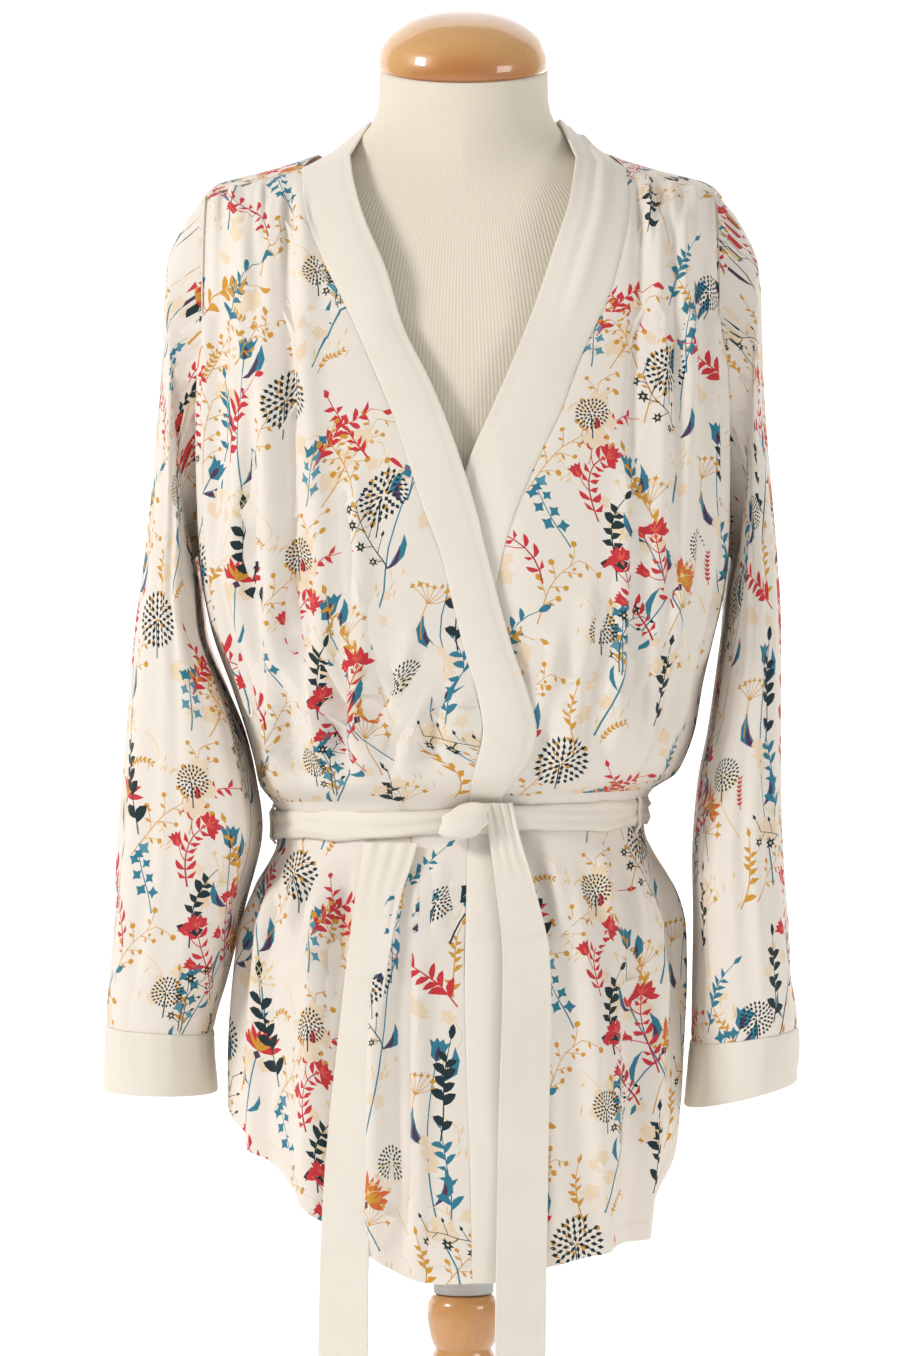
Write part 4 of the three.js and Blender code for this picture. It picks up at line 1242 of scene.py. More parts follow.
# %% Meshes
def mesh_from(name, places, faces, material):
    """A mesh from places in millimetres."""
    mesh = bpy.data.meshes.new(name)
    mesh.from_pydata((np.asarray(places) * MM).tolist(), [], [list(map(int, f)) for f in faces])
    mesh.materials.append(material)
    mesh.shade_smooth()
    mesh.update()
    thing = bpy.data.objects.new(f"{name}_piece", mesh)
    scene.collection.objects.link(thing)
    return thing


def thicken(thing, millimetres, rounded=False):
    """Gives a sheet its thickness, inwards from the outer face."""
    solid = thing.modifiers.new("thickness", "SOLIDIFY")
    solid.thickness = millimetres * MM
    solid.offset = -1.0
    if rounded:
        round_edge = thing.modifiers.new("rounded edge", "BEVEL")
        round_edge.width = millimetres * MM * 0.4
        round_edge.segments = 2
        round_edge.limit_method = "ANGLE"
        round_edge.angle_limit = math.radians(55)
    return thing


def settle(thing, nodes):
    """Puts a piece on the model and hides the plain solids that it stands for."""
    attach(thing, "root")
    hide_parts(*nodes)
    return thing


def grid_faces(rows, columns):
    r, c = np.meshgrid(np.arange(rows - 1), np.arange(columns - 1), indexing="ij")
    a = (r * columns + c).ravel()
    return np.stack([a, a + 1, a + columns + 1, a + columns], axis=1)


def tube_faces(rows, around):
    """Faces between rings of points that close on themselves."""
    faces = []
    for low in range(0, (rows - 1) * around, around):
        for c in range(around):
            after = (c + 1) % around
            faces.append([low + c, low + after, low + around + after, low + around + c])
    return faces


def area_of(thing):
    """The area of a sheet before it is thickened, in square metres."""
    return round(sum(face.area for face in thing.data.polygons), 4)


# %% Trimming a motif at a cut edge
EDGE_ROOM = 0.02


def trimmed(outline, room):
    """The part of an outline inside all of a piece's edges; room is how far inside it lies."""
    data = np.concatenate([outline, room], axis=1)
    for edge in range(2, data.shape[1]):
        inside = data[:, edge] > EDGE_ROOM
        if inside.all():
            continue
        kept = []
        for k in range(len(data)):
            here = data[k]
            after = data[(k + 1) % len(data)]
            if inside[k]:
                kept.append(here)
            if inside[k] != inside[(k + 1) % len(data)]:
                part = (here[edge] - EDGE_ROOM) / (here[edge] - after[edge])
                kept.append(here + (after - here) * part)
        if len(kept) < 3:
            return np.zeros((0, 2))
        data = np.array(kept)
    return data[:, :2]


# %% [markdown]
# ### Face and reverse
# Only the face carries the print, so the reverse can be a much coarser net. A narrow edge of
# triangles joins the two, and the sheet becomes a closed body of its true thickness.

# %% The reverse of a sheet
def grid_places(places, u_line, t):
    """Fractional rows and columns of flat places."""
    column = np.interp(places[:, 0], u_line, np.arange(len(u_line)))
    return rows_for(t, column, places[:, 1]), column


def inside_cut(places, triangles, u_line, t):
    """Which triangles lie inside a piece's outline, and the area of each."""
    middle = places[triangles].mean(axis=1)
    a, b, c = (places[triangles[:, k]] for k in range(3))
    area = ((b - a)[:, 0] * (c - a)[:, 1] - (b - a)[:, 1] * (c - a)[:, 0]) / 2
    keep = (middle[:, 1] > np.interp(middle[:, 0], u_line, t[0])) & (np.abs(area) > 1e-6)
    keep &= middle[:, 1] < np.interp(middle[:, 0], u_line, t[-1])
    return keep, area


def lining(places, triangles, u_line, t, step=3):
    """The sheet's plain reverse and its cut edge: flat places, and triangles for both."""
    count = len(places)
    starts = triangles.ravel()
    ends = np.roll(triangles, -1, axis=1).ravel()
    lonely = ~np.isin(starts * count + ends, ends * count + starts)
    rim = np.stack([starts[lonely], ends[lonely]], axis=1)
    border = np.unique(rim)
    coarse = np.stack([np.repeat(u_line[None, :], len(t), axis=0), t], axis=-1)
    coarse = coarse[2:-2:step, 2:-2:step].reshape(-1, 2)
    points = np.concatenate([places[border], coarse])
    edges = np.searchsorted(border, rim)
    made = geometry.delaunay_2d_cdt([Vector(p) for p in points], edges.tolist(), [], 0, 1e-5)
    made_places = np.array([tuple(v) for v in made[0]])
    found = np.zeros(len(points), int)
    for new, olds in enumerate(made[3]):
        found[olds] = new
    inner = np.array(made[2])
    keep, area = inside_cut(made_places, inner, u_line, t)
    inner = np.where((area > 0)[:, None], inner[:, ::-1], inner)[keep] + count
    a = rim[:, 0]
    b = rim[:, 1]
    a_in = found[edges[:, 0]] + count
    b_in = found[edges[:, 1]] + count
    edge_faces = np.concatenate([np.stack([b, a, a_in], axis=1), np.stack([b, a_in, b_in], axis=1)])
    return made_places, np.concatenate([inner, edge_faces])


# %% Cutting the print into a sheet
SMALLEST = 0.15


def surface_area(places, triangles):
    a, b, c = (places[triangles[:, k]] for k in range(3))
    return 0.5 * np.linalg.norm(np.cross(b - a, c - a), axis=1).sum()


def printed_sheet(name, grid, level_row, upright, offset, wall=0.8):
    """The draped sheet with its print; the grid's rows go up, its columns to the right."""
    s, t = flat_places(grid, level_row, upright)
    u_line = s.mean(axis=0)
    rows, columns = s.shape
    base = np.stack([np.repeat(u_line[None, :], rows, axis=0), t], axis=-1).reshape(-1, 2)
    corners, inks = motifs_over(s, t, np.array(offset, float))
    flat = np.concatenate(corners)
    row = np.interp(flat[:, 1], t.mean(axis=1), np.arange(rows))
    for _ in range(4):
        column = columns_for(s, row, flat[:, 0])
        row = rows_for(t, column, flat[:, 1])
    u = reaching(column, np.arange(columns), u_line)
    placed = np.stack([u, flat[:, 1]], axis=1)
    room = np.stack([u - u_line[0], u_line[-1] - u,
                     flat[:, 1] - np.interp(u, u_line, t[0]),
                     np.interp(u, u_line, t[-1]) - flat[:, 1]], axis=1)
    points = list(base)
    faces = []
    colours = [INKS["ground"]]
    sizes = []
    start = 0
    for shape, ink in zip(corners, inks):
        outline = trimmed(placed[start:start + len(shape)], room[start:start + len(shape)])
        start += len(shape)
        if len(outline) < 3:
            continue
        after = np.roll(outline, -1, axis=0)
        size = 0.5 * np.sum(outline[:, 0] * after[:, 1] - outline[:, 1] * after[:, 0])
        if abs(size) < SMALLEST:
            continue
        faces.append(list(range(len(points), len(points) + len(outline))))
        points.extend(outline if size > 0 else outline[::-1])
        colours.append(INKS[ink])
        sizes.append(abs(size))
    made = geometry.delaunay_2d_cdt([Vector(p) for p in points], [], faces, 0, 1e-4)
    places = np.array([tuple(v) for v in made[0]])
    triangles = np.array(made[2])
    colours = np.array(colours)
    keep, area = inside_cut(places, triangles, u_line, t)
    counts = np.array([len(over) for over in made[5]])
    owner = np.repeat(np.arange(len(counts)), counts)
    shape_of = np.array([shape for over in made[5] for shape in over])
    filled = np.bincount(shape_of, weights=np.abs(area)[owner], minlength=len(faces))
    sound = filled < 1.2 * np.array(sizes) + 0.5
    top = np.zeros(len(triangles), int)
    good = sound[shape_of]
    np.maximum.at(top, owner[good], shape_of[good] + 1)
    triangles = np.where((area < 0)[:, None], triangles[:, ::-1], triangles)[keep]
    top = top[keep]
    used, triangles = np.unique(triangles, return_inverse=True)
    triangles = triangles.reshape(-1, 3)
    places = places[used]
    outer = between(grid, *grid_places(places, u_line, t))
    under_places, under = lining(places, triangles, u_line, t)
    inner_grid = grid - normals_of(grid) * wall
    inner = between(inner_grid, *grid_places(under_places, u_line, t))
    thing = mesh_from(name, np.concatenate([outer, inner]), np.concatenate([triangles, under]),
                      printed.material)
    thing.data.set_sharp_from_angle(angle=math.radians(55))
    layer = thing.data.color_attributes.new("ink", "FLOAT_COLOR", "CORNER")
    shown = colours[np.concatenate([top, np.zeros(len(under), int)])]
    layer.data.foreach_set("color", np.repeat(shown, 3, axis=0).ravel())
    covered = np.abs(area[keep])[top > 0].sum() / np.abs(area[keep]).sum()
    print(name, len(triangles) + len(under), "triangles,", len(faces), "motif shapes,",
          round(covered, 2), "covered,", round(1e-6 * surface_area(outer, triangles), 4), "m2")
    return thing


# %% [markdown]
# ### Thread
# A machine stitch shows two millimetres of thread and then dips out of sight for one.

# %% Thread stitches along a line
def stitches(name, line, outward, pitch=2.9, length=2.0, thick=0.42):
    """A row of separate thread stitches lying on the cloth, as one mesh."""
    steps = np.linalg.norm(np.diff(line, axis=0), axis=1)
    along = np.concatenate([[0], np.cumsum(steps)])
    count = int(along[-1] / pitch)
    places = []
    faces = []
    for k in range(count):
        ends = []
        for distance in (k * pitch + 0.3, k * pitch + 0.3 + length):
            ends.append([np.interp(distance, along, line[:, axis]) for axis in range(3)])
        a, b = np.array(ends)
        out = np.array([np.interp(k * pitch, along, outward[:, axis]) for axis in range(3)])
        forward = (b - a) / np.linalg.norm(b - a)
        side = np.cross(forward, out)
        lift_by = out * thick * 0.3
        first = len(places)
        for at, grow in ((a, 0.35), (a * 0.5 + b * 0.5 + out * thick * 0.25, 1.0), (b, 0.35)):
            for turn in range(4):
                ring = math.cos(turn * math.pi / 2) * side + math.sin(turn * math.pi / 2) * out
                places.append(at + lift_by + ring * thick * 0.5 * grow)
        for section in range(2):
            for turn in range(4):
                low = first + section * 4
                after = (turn + 1) % 4
                faces.append([low + turn, low + after, low + 4 + after, low + 4 + turn])
        faces.append([first + 3, first + 2, first + 1, first])
        faces.append([first + 8, first + 9, first + 10, first + 11])
    print(name, count, "stitches")
    return mesh_from(name, places, faces, thread.material)


# %% [markdown]
# ## The body of the garment
# The fronts are softly gathered below their shoulder seams and puff over the belt; below it the
# skirt falls in loose folds to a shirt-tail hem. The creases listed here follow the photo on
# the front, and the same kinds go over the back, spaced unevenly.

# %% Creases of the fronts and the back
rng = np.random.default_rng(7)
front_lines = [
    Crease([(-150, 1150), (-140, 1300), (-152, 1438)], 7, 3.6),
    Crease([(-121, 1060), (-128, 1200), (-132, 1440)], 6, 3.2),
    Crease([(-112, 1100), (-115, 1300), (-118, 1442)], 4, -2.6),
    Crease([(-95, 1045), (-92, 1180), (-104, 1330), (-110, 1440)], 7, 3.4),
    Crease([(-76, 1040), (-66, 1120), (-70, 1250)], 6, 3.4),
    Crease([(-62, 1036), (-45, 1090), (-30, 1150)], 5, 3.4),
    Crease([(-45, 1036), (-30, 1075), (-12, 1120)], 4.5, 3.0),
    Crease([(-90, 1036), (-82, 1090), (-88, 1160)], 4, -2.8),
    Crease([(-128, 1032), (-120, 1085), (-124, 1170)], 6, 3.6),
    Crease([(120, 1060), (128, 1220), (132, 1438)], 6, 3.4),
    Crease([(138, 1120), (146, 1290), (150, 1436)], 6, 3.2),
    Crease([(108, 1090), (112, 1280), (120, 1440)], 4, -2.4),
    Crease([(94, 1040), (104, 1130), (110, 1260)], 7, 3.2),
    Crease([(66, 1038), (76, 1100), (84, 1180)], 6, 3.0),
    Crease([(40, 1040), (52, 1090), (64, 1150)], 6, 2.8),
    Crease([(-58, 720), (-56, 850), (-48, 985)], 8, 4.2),
    Crease([(-100, 760), (-98, 880), (-86, 985)], 8, 4.0),
    Crease([(-30, 700), (-30, 840), (-28, 980)], 6, 3.6),
    Crease([(-78, 730), (-76, 860), (-66, 985)], 6, -3.0),
    Crease([(56, 720), (54, 860), (44, 985)], 7, 4.0),
    Crease([(88, 740), (84, 880), (74, 985)], 8, 4.2),
    Crease([(112, 780), (108, 900), (98, 985)], 6, -3.2),
]
front_lines += comb(rng, -168, -112, 8.0, 1450, 1385, 2.8, 2.4)
front_lines += comb(rng, 112, 168, 8.0, 1450, 1385, 2.8, 2.4)
front_lines += comb(rng, -132, -6, 12.0, 1030, 1112, 4.4, 3.3, -40.0, 0.3)
front_lines += comb(rng, 10, 136, 15.0, 1030, 1096, 5.0, 2.7, 30.0, 0.2)
front_lines += comb(rng, -126, 124, 12.0, 991, 905, 4.6, 3.4, 0.0, 0.12)
back_lines = comb(rng, -150, 150, 21.0, 1330, 1080, 8.0, 3.4)
back_lines += comb(rng, -140, 140, 12.0, 1030, 1110, 4.6, 3.0, 0.0, 0.12)
back_lines += comb(rng, -124, 124, 12.0, 991, 905, 4.6, 3.2, 0.0, 0.12)
back_lines += comb(rng, -130, 130, 24.0, 980, 720, 8.0, 4.2, 0.0, 0.1)
print(len(front_lines), "front creases and", len(back_lines), "back creases")


# %% A groove along sewn edges
def groove(grid, edges, deep=0.7, wide=2.6):
    """Lets a sheet dip a little into its seams, so that neighbours meet in a soft line."""
    normal = normals_of(grid)
    s = lengths(grid, 1)
    t = lengths(grid, 0)
    reach = {"left": s, "right": s[:, -1:] - s, "low": t, "high": t[-1:] - t}
    dip = sum(np.exp(-(reach[edge] / wide) ** 2) for edge in edges)
    return grid - normal * (deep * np.minimum(dip, 1.0))[..., None]


# %% Fronts and back
right_front = front_grid(-1, top_band, no_sink, front_lines)
left_front = front_grid(1, under_band, under_sink, front_lines)
back = back_grid(back_lines)


def by_x(grid, s):
    """Keeps the print upright: flat places follow the view's left to right on average."""
    return (grid[..., 0] - s).mean(axis=1)


def by_minus_x(grid, s):
    return (-grid[..., 0] - s).mean(axis=1)


front_right = printed_sheet("front_right", groove(right_front[:, ::-1], ("left", "right", "high")),
                            skirt_count, by_x, (-60.0, 20.0))
front_left = printed_sheet("front_left", groove(left_front, ("left", "right", "high")),
                           skirt_count, by_x, (95.0, 110.0))
back_piece = printed_sheet("back", groove(back[:, ::-1], ("left", "right")),
                           skirt_count, by_minus_x, (10.0, 60.0))
settle(front_right, ["front_right"])
settle(front_left, ["front_left"])
settle(back_piece, ["back"])

# %% [markdown]
# ## Sleeves
# Each sleeve is one wide tube set into the armhole. Its cap is eased in, so short creases stand
# round the top, and long folds fall from there to the plain cuff, which is a doubled strip.

# %% Sleeves and cuffs
def sleeve_creases(grid, seed):
    """Long uneven folds down a sleeve, and short ones where it is eased into the armhole."""
    rng = np.random.default_rng(seed)
    rows, columns = grid.shape[:2]
    down = np.linspace(0, 1, rows)[:, None]
    turn = np.linspace(-180, 180, columns)[None, :]
    out = np.zeros((rows, columns))
    for k in range(9):
        middle = -170 + 38 * k + rng.uniform(-10, 10)
        wander = rng.uniform(-14, 14) * down + 5 * np.sin(down * rng.uniform(4, 8) + k)
        away = (turn - middle - wander + 540) % 360 - 180
        top = rng.uniform(0.02, 0.25)
        foot = rng.uniform(0.75, 1.0)
        ends = smooth((down - top) / 0.12) * smooth((foot - down) / 0.12)
        tall = rng.uniform(1.8, 3.4) * (1 if k % 3 else -1)
        out += tall * ends * np.exp(-(away / rng.uniform(5, 9)) ** 2)
    for k in range(26):
        middle = -90 + 7.2 * k + rng.uniform(-2, 2)
        away = (turn - middle + 540) % 360 - 180
        ends = smooth(down / 0.01) * smooth((rng.uniform(0.05, 0.12) - down) / 0.05)
        out += rng.uniform(-1.3, 1.3) * ends * np.exp(-(away / 2.2) ** 2)
    for k in range(22):
        middle = -176 + 16.4 * k + rng.uniform(-4, 4)
        away = (turn - middle + 540) % 360 - 180
        ends = smooth((down - rng.uniform(0.8, 0.9)) / 0.08) * smooth((0.99 - down) / 0.03)
        out += rng.uniform(-1.0, 1.6) * ends * np.exp(-(away / 3.4) ** 2)
    return out


def make_sleeve(word, side, table_rows, front, back_line, seed, offset):
    grid = sleeve_grid(side, table_rows, front, back_line)
    if side > 0:
        grid = grid[:, ::-1]
    grid = grid[::-1]
    normal = normals_of(grid, closed=True)
    rise = sleeve_creases(grid[::-1], seed)[::-1]
    from_seam = np.minimum(np.arange(rise.shape[1]), np.arange(rise.shape[1])[::-1])
    rise = rise * smooth(from_seam / 6.0)
    grid = grid + normal * rise[..., None]
    rows = len(grid)
    cut = int(round(rows / 13.0))
    sleeve = grid[cut:]
    cuff = grid[:cut + 1]
    middle = sleeve.shape[1] * 3 // 4 if side < 0 else sleeve.shape[1] // 4

    def upright(places, s):
        return -s[:, middle]

    thing = printed_sheet(f"sleeve_{word}", groove(sleeve, ("low", "high")), 0, upright, offset)
    settle(thing, [f"sleeve_{word}"])
    fine = np.linspace(0, len(cuff) - 1, 22)
    cuff = np.stack([between(cuff, np.full(cuff.shape[1], at), np.arange(cuff.shape[1], dtype=float))
                     for at in fine])
    out = normals_of(cuff, closed=True)
    part = np.linspace(0, 1, len(cuff))[:, None]
    seam_dip = 0.9 * np.exp(-((part - 1.0) / 0.05) ** 2)
    stitch_dip = 0.45 * np.exp(-((part - 0.86) / 0.03) ** 2)
    swell = 0.9 - seam_dip - stitch_dip
    cuff = cuff + out * swell[..., None]
    cuff[:, -1] = cuff[:, 0]
    faces = tube_faces(len(cuff), cuff.shape[1] - 1)
    band = mesh_from(f"cuff_{word}", cuff[:, :-1].reshape(-1, 3), faces, ivory.material)
    thicken(band, 1.8, True)
    settle(band, [f"cuff_{word}"])
    print(band.name, area_of(band), "m2")
    return thing, band


sleeve_right, cuff_right = make_sleeve("right", -1, SLEEVE_RIGHT, right_front, back[:, 0], 3,
                                       (30.0, -20.0))
sleeve_left, cuff_left = make_sleeve("left", 1, SLEEVE_LEFT, left_front, back[:, -1], 5,
                                     (-70.0, 75.0))

# %% [markdown]
# ## Neckbands
# The ivory band is a folded strip sewn to each front's edge and on round the neck. The right
# one lies on top and runs down under the belt. Its free edge is a fold, with a pressed line
# a few millimetres in, and the strip bellies a little between its seam and that line.

# %% Rise and fall of a band
def band_rise(waves, fold_from=None):
    """How a band stands up from the cloth line: belly, pressed line and slow waves."""
    def rise(part, height):
        belly = 1.3 * np.sin(np.pi * np.clip(part, 0, 1)) ** 0.8
        pressed = -0.7 * np.exp(-((part - 0.86) / 0.035) ** 2)
        slow = waves * part * np.sin(height / 41.0 + 2.2 * part) + 0.5 * np.sin(height / 17.0)
        doubled = 0.0
        if fold_from:
            doubled = 2.2 * smooth((height - fold_from) / 40) * (
                np.exp(-((part - 0.45) / 0.1) ** 2) - 0.6 * np.exp(-((part - 0.62) / 0.05) ** 2))
        tuck = smooth((np.abs(height - BELT_Z) - 14) / 14)
        return (belly + pressed + slow * 0.5) * tuck + doubled
    return rise


def make_band(word, side, band, sink, front, rise, wall=1.8):
    grid = band_grid(side, band, sink, front, back, rise)
    if side > 0:
        grid = grid[:, ::-1]
    rows, columns = grid.shape[:2]
    thing = mesh_from(f"band_{word}", grid.reshape(-1, 3), grid_faces(rows, columns),
                      ivory.material)
    thicken(thing, wall, True)
    settle(thing, [f"band_{word}"])
    print(thing.name, area_of(thing), "m2,", round(lengths(grid, 0)[-1, columns // 2]), "mm long")
    return thing


band_right = make_band("right", -1, top_band, no_sink, right_front, band_rise(1.6))
band_left = make_band("left", 1, under_band, under_sink, left_front, band_rise(1.2, 1330.0))

# %% [markdown]
# ## Belt
# The belt is a long narrow tube of crepe turned inside out and pressed, so it crumples along
# its length where it is pulled tight. It is tied once in front, and its two ends hang flat.

# %% Belt round the waist
def belt_ring(count=220, high=13):
    heights = np.linspace(-0.5, 0.5, high)[:, None]
    turns = np.linspace(-math.pi, math.pi, count + 1)[None, :-1]
    near_knot = np.exp(-(turns / 0.35) ** 2)
    wave = 0.06 * np.sin(turns * 9 + 1.0) + 0.05 * np.sin(turns * 17 + 0.3)
    tall = 19.0 * (1 - 0.12 * near_knot + wave)
    z = BELT_Z + heights * tall + 1.2 * np.sin(turns * 5 + 0.7) * 0.6
    crumple = np.zeros((high, count))
    for slope, place, tall_by, wide in ((1.4, -0.28, 1.3, 0.1), (-1.1, 0.1, 1.1, 0.09),
                                        (0.8, 0.3, 1.2, 0.08), (-0.6, -0.05, -1.0, 0.07)):
        line = place + 0.12 * np.sin(turns * slope * 4 + place * 20)
        crumple += tall_by * np.exp(-((heights - line) / wide) ** 2)
    crumple += 0.5 * np.sin(turns * 31 + heights * 6)
    rounded = -2.0 * (2 * np.abs(heights)) ** 3
    z_all = np.broadcast_to(z, crumple.shape)
    t_all = np.broadcast_to(turns, crumple.shape)
    return skin(t_all, z_all, 1.4 + 2.6 + crumple * 0.8 + rounded)


ring = belt_ring()
belt = mesh_from("belt", ring.reshape(-1, 3), tube_faces(*ring.shape[:2]), ivory.material)
thicken(belt, 2.0)
settle(belt, ["belt"])
print("belt", area_of(belt), "m2")


# %% Knot
def knot_piece():
    """A small tight knot: a soft ball wrapped by folds that run slantwise round it."""
    around = 64
    over = 40
    centre = skin(np.array(0.0), np.array(BELT_Z)) + np.array([0.0, -11.0, 0.0])
    places = []
    for r in range(over + 1):
        rise = math.pi * r / over - math.pi / 2
        for c in range(around):
            turn = 2 * math.pi * c / around
            plain = np.array([math.cos(rise) * math.cos(turn), math.cos(rise) * math.sin(turn),
                              math.sin(rise)])
            slant = plain[0] * 2.4 + plain[2] * 4.4
            folds = 1 + 0.06 * math.sin(slant * 1.7 + 0.6)
            squared = power(plain, 0.85) * folds
            tilted = squared * np.array([16.0, 6.6, 11.5])
            tilted[2] += 0.28 * tilted[0]
            places.append(centre + tilted)
    return mesh_from("belt_knot", places, tube_faces(over + 1, around), ivory.material)


settle(knot_piece(), ["belt_knot"])

# %% Hanging ends
END_ONE = [
    (545, -80, 33, 4), (660, -80, 33, 4), (775, -77, 31, 4), (892, -67, 27, 4),
    (960, -57, 30, 3.2), (985, -51, 34, 2.6), (995, -49, 35, 2.6),
]
END_TWO = [
    (528, 37, 33, 4), (660, 37, 33, 4), (800, 39, 33, 4), (919, 41, 31, 4.5), (970, 33, 25, 6),
    (1000, 26, 20, 6.2), (1021, 22, 18, 6.2),
]


def make_end(name, rows, crosses, seed, steps=17, count=170):
    """One hanging end: flat across, with soft waves, cross creases and its two sewn sides."""
    rng = np.random.default_rng(seed)
    middle, width, proud = curves(rows, 4)
    z = np.linspace(rows[0][0], rows[-1][0], count)
    part = np.linspace(-0.5, 0.5, steps)
    x = middle(z)[:, None] + part[None, :] * width(z)[:, None]
    cloth = on_front(x, np.maximum(z, 715.0)[:, None] + np.zeros_like(x))[..., 1]
    line = cloth[:, :1] + (cloth[:, -1:] - cloth[:, :1]) * (part + 0.5)[None, :]
    bulge = (line - cloth).max(axis=1)
    kernel = np.ones(9) / 9
    bulge = np.convolve(np.pad(bulge, 4, mode="edge"), kernel, mode="valid")
    y = line - bulge[:, None] - proud(z)[:, None]
    low = smooth((z - z[0]) / 60)[:, None]
    wave = 1.2 * np.sin(z / 31.0 + seed)[:, None] * part[None, :] * 2
    seams = -0.45 * (np.exp(-((part - 0.4) / 0.035) ** 2) + np.exp(-((part + 0.4) / 0.035) ** 2))
    cross = np.zeros((count, 1))
    for height, deep in crosses:
        slant = height + 4 * part[None, :]
        cross = cross - deep * np.exp(-((z[:, None] - slant) / 2.2) ** 2)
        cross = cross + deep * 0.7 * np.exp(-((z[:, None] - slant - 6) / 4) ** 2)
    gather = smooth((z - rows[-1][0] + 60) / 60)[:, None] * 1.6 * np.cos(part * 21 + seed)[None, :]
    rise = wave * (0.4 + 0.6 * low) + seams[None, :] + cross + gather
    rise = rise + 0.25 * rng.standard_normal((count, 1)).cumsum(axis=0) * 0.1
    grid = np.stack([x, y - 1.0 - rise * 0.8, np.broadcast_to(z[:, None], x.shape)], axis=-1)
    thing = mesh_from(name, grid.reshape(-1, 3), grid_faces(count, steps), ivory.material)
    thicken(thing, 1.6, True)
    settle(thing, [name])
    print(name, area_of(thing), "m2")
    return thing


belt_end_1 = make_end("belt_end_1", END_ONE, [(905, 1.6), (972, 0.8)], 1)
belt_end_2 = make_end("belt_end_2", END_TWO, [(931, 1.8), (955, 0.7)], 2)

# %% Belt loops
for word, place in (("right", -82.0), ("left", 66.0)):
    up_part, across = np.meshgrid(np.linspace(-1, 1, 25), np.linspace(-0.5, 0.5, 7), indexing="ij")
    over = 3.6 * smooth((1 - np.abs(up_part)) / 0.4) + 1.2
    turn = math.radians(place) + across * 5.0 / 110
    grid = skin(turn, BELT_Z + up_part * 13.5, over + 1.2 - 0.6 * (2 * across) ** 2)
    loop = mesh_from(f"belt_loop_{word}", grid.reshape(-1, 3), grid_faces(25, 7),
                     printed.material)
    layer = loop.data.color_attributes.new("ink", "FLOAT_COLOR", "CORNER")
    layer.data.foreach_set("color", np.tile(INKS["ground"], len(loop.data.loops)))
    thicken(loop, 1.2)
    settle(loop, [f"belt_loop_{word}"])

# %% [markdown]
# ## The form and its stand
# The form is padded to a woman's torso, flat across at its shoulders, where it would end in
# caps for the arms. The neck is cut at a slant and closed with a turned and varnished cap.

# %% Dress form
FORM = [
    (818, 129, 100, 104, 2.2), (824, 134, 104, 108, 2.2), (860, 137, 108, 108, 2.2),
    (911, 135, 104, 102, 2.2), (950, 128, 98, 93, 2.2), (985, 117, 90, 82, 2.2),
    (1010, 114, 86, 79, 2.2), (1035, 117, 89, 80, 2.2), (1070, 126, 96, 84, 2.2),
    (1110, 137, 104, 86, 2.3), (1160, 146, 110, 86, 2.4), (1210, 153, 114, 87, 2.4),
    (1250, 158, 116, 89, 2.4), (1290, 163, 109, 91, 2.5), (1320, 167, 101, 92, 2.6),
    (1345, 169, 94, 92, 2.6), (1375, 169, 85, 90, 2.5), (1400, 167, 77, 86, 2.3),
    (1420, 164, 70, 80, 2.1), (1432, 160, 66, 75, 1.8), (1440, 152, 63, 71, 1.6),
    (1448, 129, 61, 68, 1.5), (1456, 99, 59, 65, 1.5), (1466, 80, 58, 62, 1.6),
    (1478, 67, 57.5, 60, 1.8), (1490, 60, 57, 58, 2.0), (1500, 58, 57, 57, 2.0),
]
NECK_RADIUS = 57.5
NECK_TOP_Z = 1522.0
NECK_LEAN = math.radians(18.0)


def stacked(name, rings, material):
    """A closed solid through rings of points, with a lid at each end fanned to the ring's middle."""
    rings = np.array(rings)
    rows, around = rings.shape[:2]
    places = list(rings.reshape(-1, 3)) + [rings[0].mean(axis=0), rings[-1].mean(axis=0)]
    faces = tube_faces(rows, around)
    last = (rows - 1) * around
    for c in range(around):
        after = (c + 1) % around
        faces.append([rows * around, after, c])
        faces.append([rows * around + 1, last + c, last + after])
    return mesh_from(name, places, faces, material)


half, front, behind, square = curves(FORM, 5)
around = np.linspace(0, 2 * math.pi, 145)[:-1]
rings = []
for z in np.concatenate([[818.0, 818.6, 820.0], np.linspace(823, 1500, 150)]):
    x = half(z) * power(np.sin(around), 2 / square(z))
    deep = np.where(np.cos(around) > 0, front(z), behind(z))
    y = -deep * power(np.cos(around), 2 / square(z))
    rings.append(np.stack([x, y, np.full(len(around), z)], axis=-1))
top_y = -NECK_RADIUS * np.cos(around)
top_ring = np.stack([NECK_RADIUS * np.sin(around), top_y,
                     NECK_TOP_Z + top_y * math.tan(NECK_LEAN)], axis=-1)
for part in (0.35, 0.7, 1.0):
    rings.append(rings[152] * (1 - part) + top_ring * part)
form = stacked("form_torso", rings, jersey.material)
settle(form, ["form_torso"])


# %% Turned parts
def turned(name, profile, material, lean=0.0, at_z=0.0, around=96):
    """A turned solid through pairs of radius and height, one ring for each pair."""
    rings = []
    turns = np.linspace(0, 2 * math.pi, around + 1)[:-1]
    for radius, z in profile:
        ring = np.stack([radius * np.sin(turns), -radius * np.cos(turns), np.full(around, z)],
                        axis=-1)
        c = math.cos(lean)
        s = math.sin(lean)
        tipped = np.stack([ring[:, 0], ring[:, 1] * c - ring[:, 2] * s,
                           ring[:, 1] * s + ring[:, 2] * c + at_z], axis=-1)
        rings.append(tipped)
    return stacked(name, rings, material)


def flowing(points, steps=6):
    """More points along a smooth line through the given ones."""
    points = np.array(points, float)
    along = np.concatenate([[0], np.cumsum(np.linalg.norm(np.diff(points, axis=0), axis=1))])
    fine = np.linspace(0, along[-1], (len(points) - 1) * steps + 1)
    fine = np.unique(np.concatenate([fine, along]))
    return np.stack([Curve(along, points[:, 0])(fine), Curve(along, points[:, 1])(fine)], axis=-1)


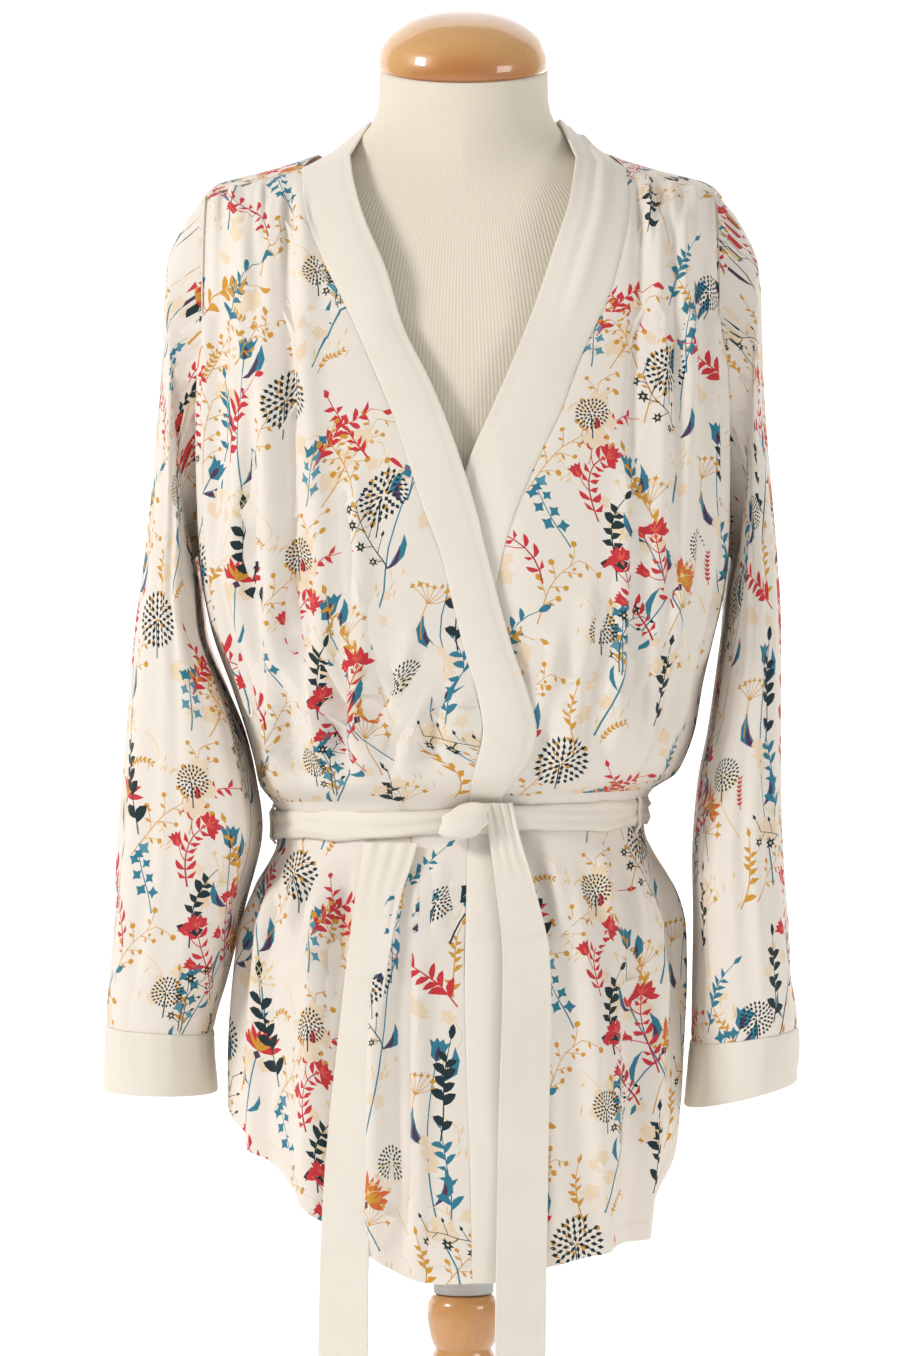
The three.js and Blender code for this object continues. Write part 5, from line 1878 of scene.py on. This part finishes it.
dome = [(58.2, 0.4), (58.5, 2.0), (58.6, 6.0), (57.6, 10.5), (54.6, 17.2), (49.6, 23.0),
        (42.4, 28.2), (33.0, 32.8), (22.0, 36.0), (11.0, 37.6), (3.0, 38.0)]
cap_profile = np.concatenate([[(0.5, 0.0), (57.0, 0.0)], flowing(dome, 4)])
neck_cap = turned("neck_cap", cap_profile, pine.material, NECK_LEAN, NECK_TOP_Z + 0.3)
settle(neck_cap, ["neck_cap"])

collar = turned("collar", [(0.5, 683.0), (19.9, 683.0), (20.5, 683.6), (20.5, 817.1),
                           (19.9, 817.7), (0.5, 817.7)], satin.material)
settle(collar, ["collar"])

pole = [(30.0, 34.9), (30.2, 40.0), (29.4, 45.0), (25.6, 52.0), (23.6, 60.0), (22.0, 76.0),
        (21.5, 92.0), (21.5, 380.0), (21.5, 638.0), (21.2, 641.6), (19.0, 645.0), (21.2, 648.4),
        (22.4, 653.0), (24.2, 662.0), (25.0, 671.0), (24.4, 677.0), (22.0, 681.2), (19.0, 682.6)]
stem_profile = np.concatenate([[(0.5, 34.3), (29.6, 34.3)], flowing(pole, 4), [(0.5, 682.7)]])
stem = turned("stem", stem_profile, pole_pine.material)
settle(stem, ["stem"])

plate = [(172.0, 0.0), (178.0, 2.0), (180.0, 6.0), (180.0, 14.0), (177.6, 18.0), (172.0, 20.4),
         (140.0, 24.0), (110.0, 27.0), (80.0, 31.2), (60.0, 33.4), (50.0, 34.0)]
foot_profile = np.concatenate([[(0.5, 0.0)], flowing(plate, 4), [(0.5, 34.0)]])
foot = turned("foot", foot_profile, pine.material, around=144)
settle(foot, ["foot"])

# %% [markdown]
# ## Stitching
# The hem is turned up twice and topstitched 12 millimetres in. The thread sits in the cloth, so
# its stitches are half sunk, and each is a small spindle of its own, thinner at both ends.

# %% Rows of stitches
def row_above(grid, distance):
    """The line of places a set distance up from a grid's lowest row, with its normals."""
    t = lengths(grid, 0)
    out = normals_of(grid)
    line = []
    ways = []
    for c in range(grid.shape[1]):
        row = np.array([np.interp(distance, t[:, c], np.arange(len(t)))])
        line.append(between(grid, row, np.array([float(c)]))[0])
        ways.append(between(out, row, np.array([float(c)]))[0])
    return np.array(line), np.array(ways)


hem_right = stitches("hem_stitches_right", *row_above(right_front[:, ::-1], 12.0))
hem_left = stitches("hem_stitches_left", *row_above(left_front, 12.0))
hem_back = stitches("hem_stitches_back", *row_above(back[:, ::-1], 12.0))
for thing in (hem_right, hem_left, hem_back):
    settle(thing, [])

# %% [markdown]

# %% [markdown]
# ## The room
# A pale floor and a lit white wall far behind stand in for the photographer's paper.

# %% Room
def stage_sheet(name, size, place, rotation, colour, shine=None):
    bpy.ops.mesh.primitive_plane_add(size=size, location=place, rotation=rotation)
    sheet = bpy.context.object
    sheet.name = name
    finish = Surface(name, Roughness=0.9)
    soft = finish.noise(finish.place(), 1.5, 2.0)
    finish.feed(finish.shader.inputs["Base Color"], finish.mix(soft, colour, paint(255, 255, 255)))
    if shine:
        finish.feed(finish.shader.inputs["Emission Color"],
                    finish.mix(soft, paint(255, 255, 255), paint(254, 254, 254)))
        finish.shader.inputs["Emission Strength"].default_value = shine
    sheet.data.materials.append(finish.material)


stage_sheet("floor", 7.8, (0.0, 0.0, -0.002), (0.0, 0.0, 0.0), paint(246, 246, 246))
stage_sheet("backdrop", 38.0, (0.0, 12.0, 8.5), (math.radians(90), 0.0, 0.0),
            paint(252, 252, 252), 1.0)
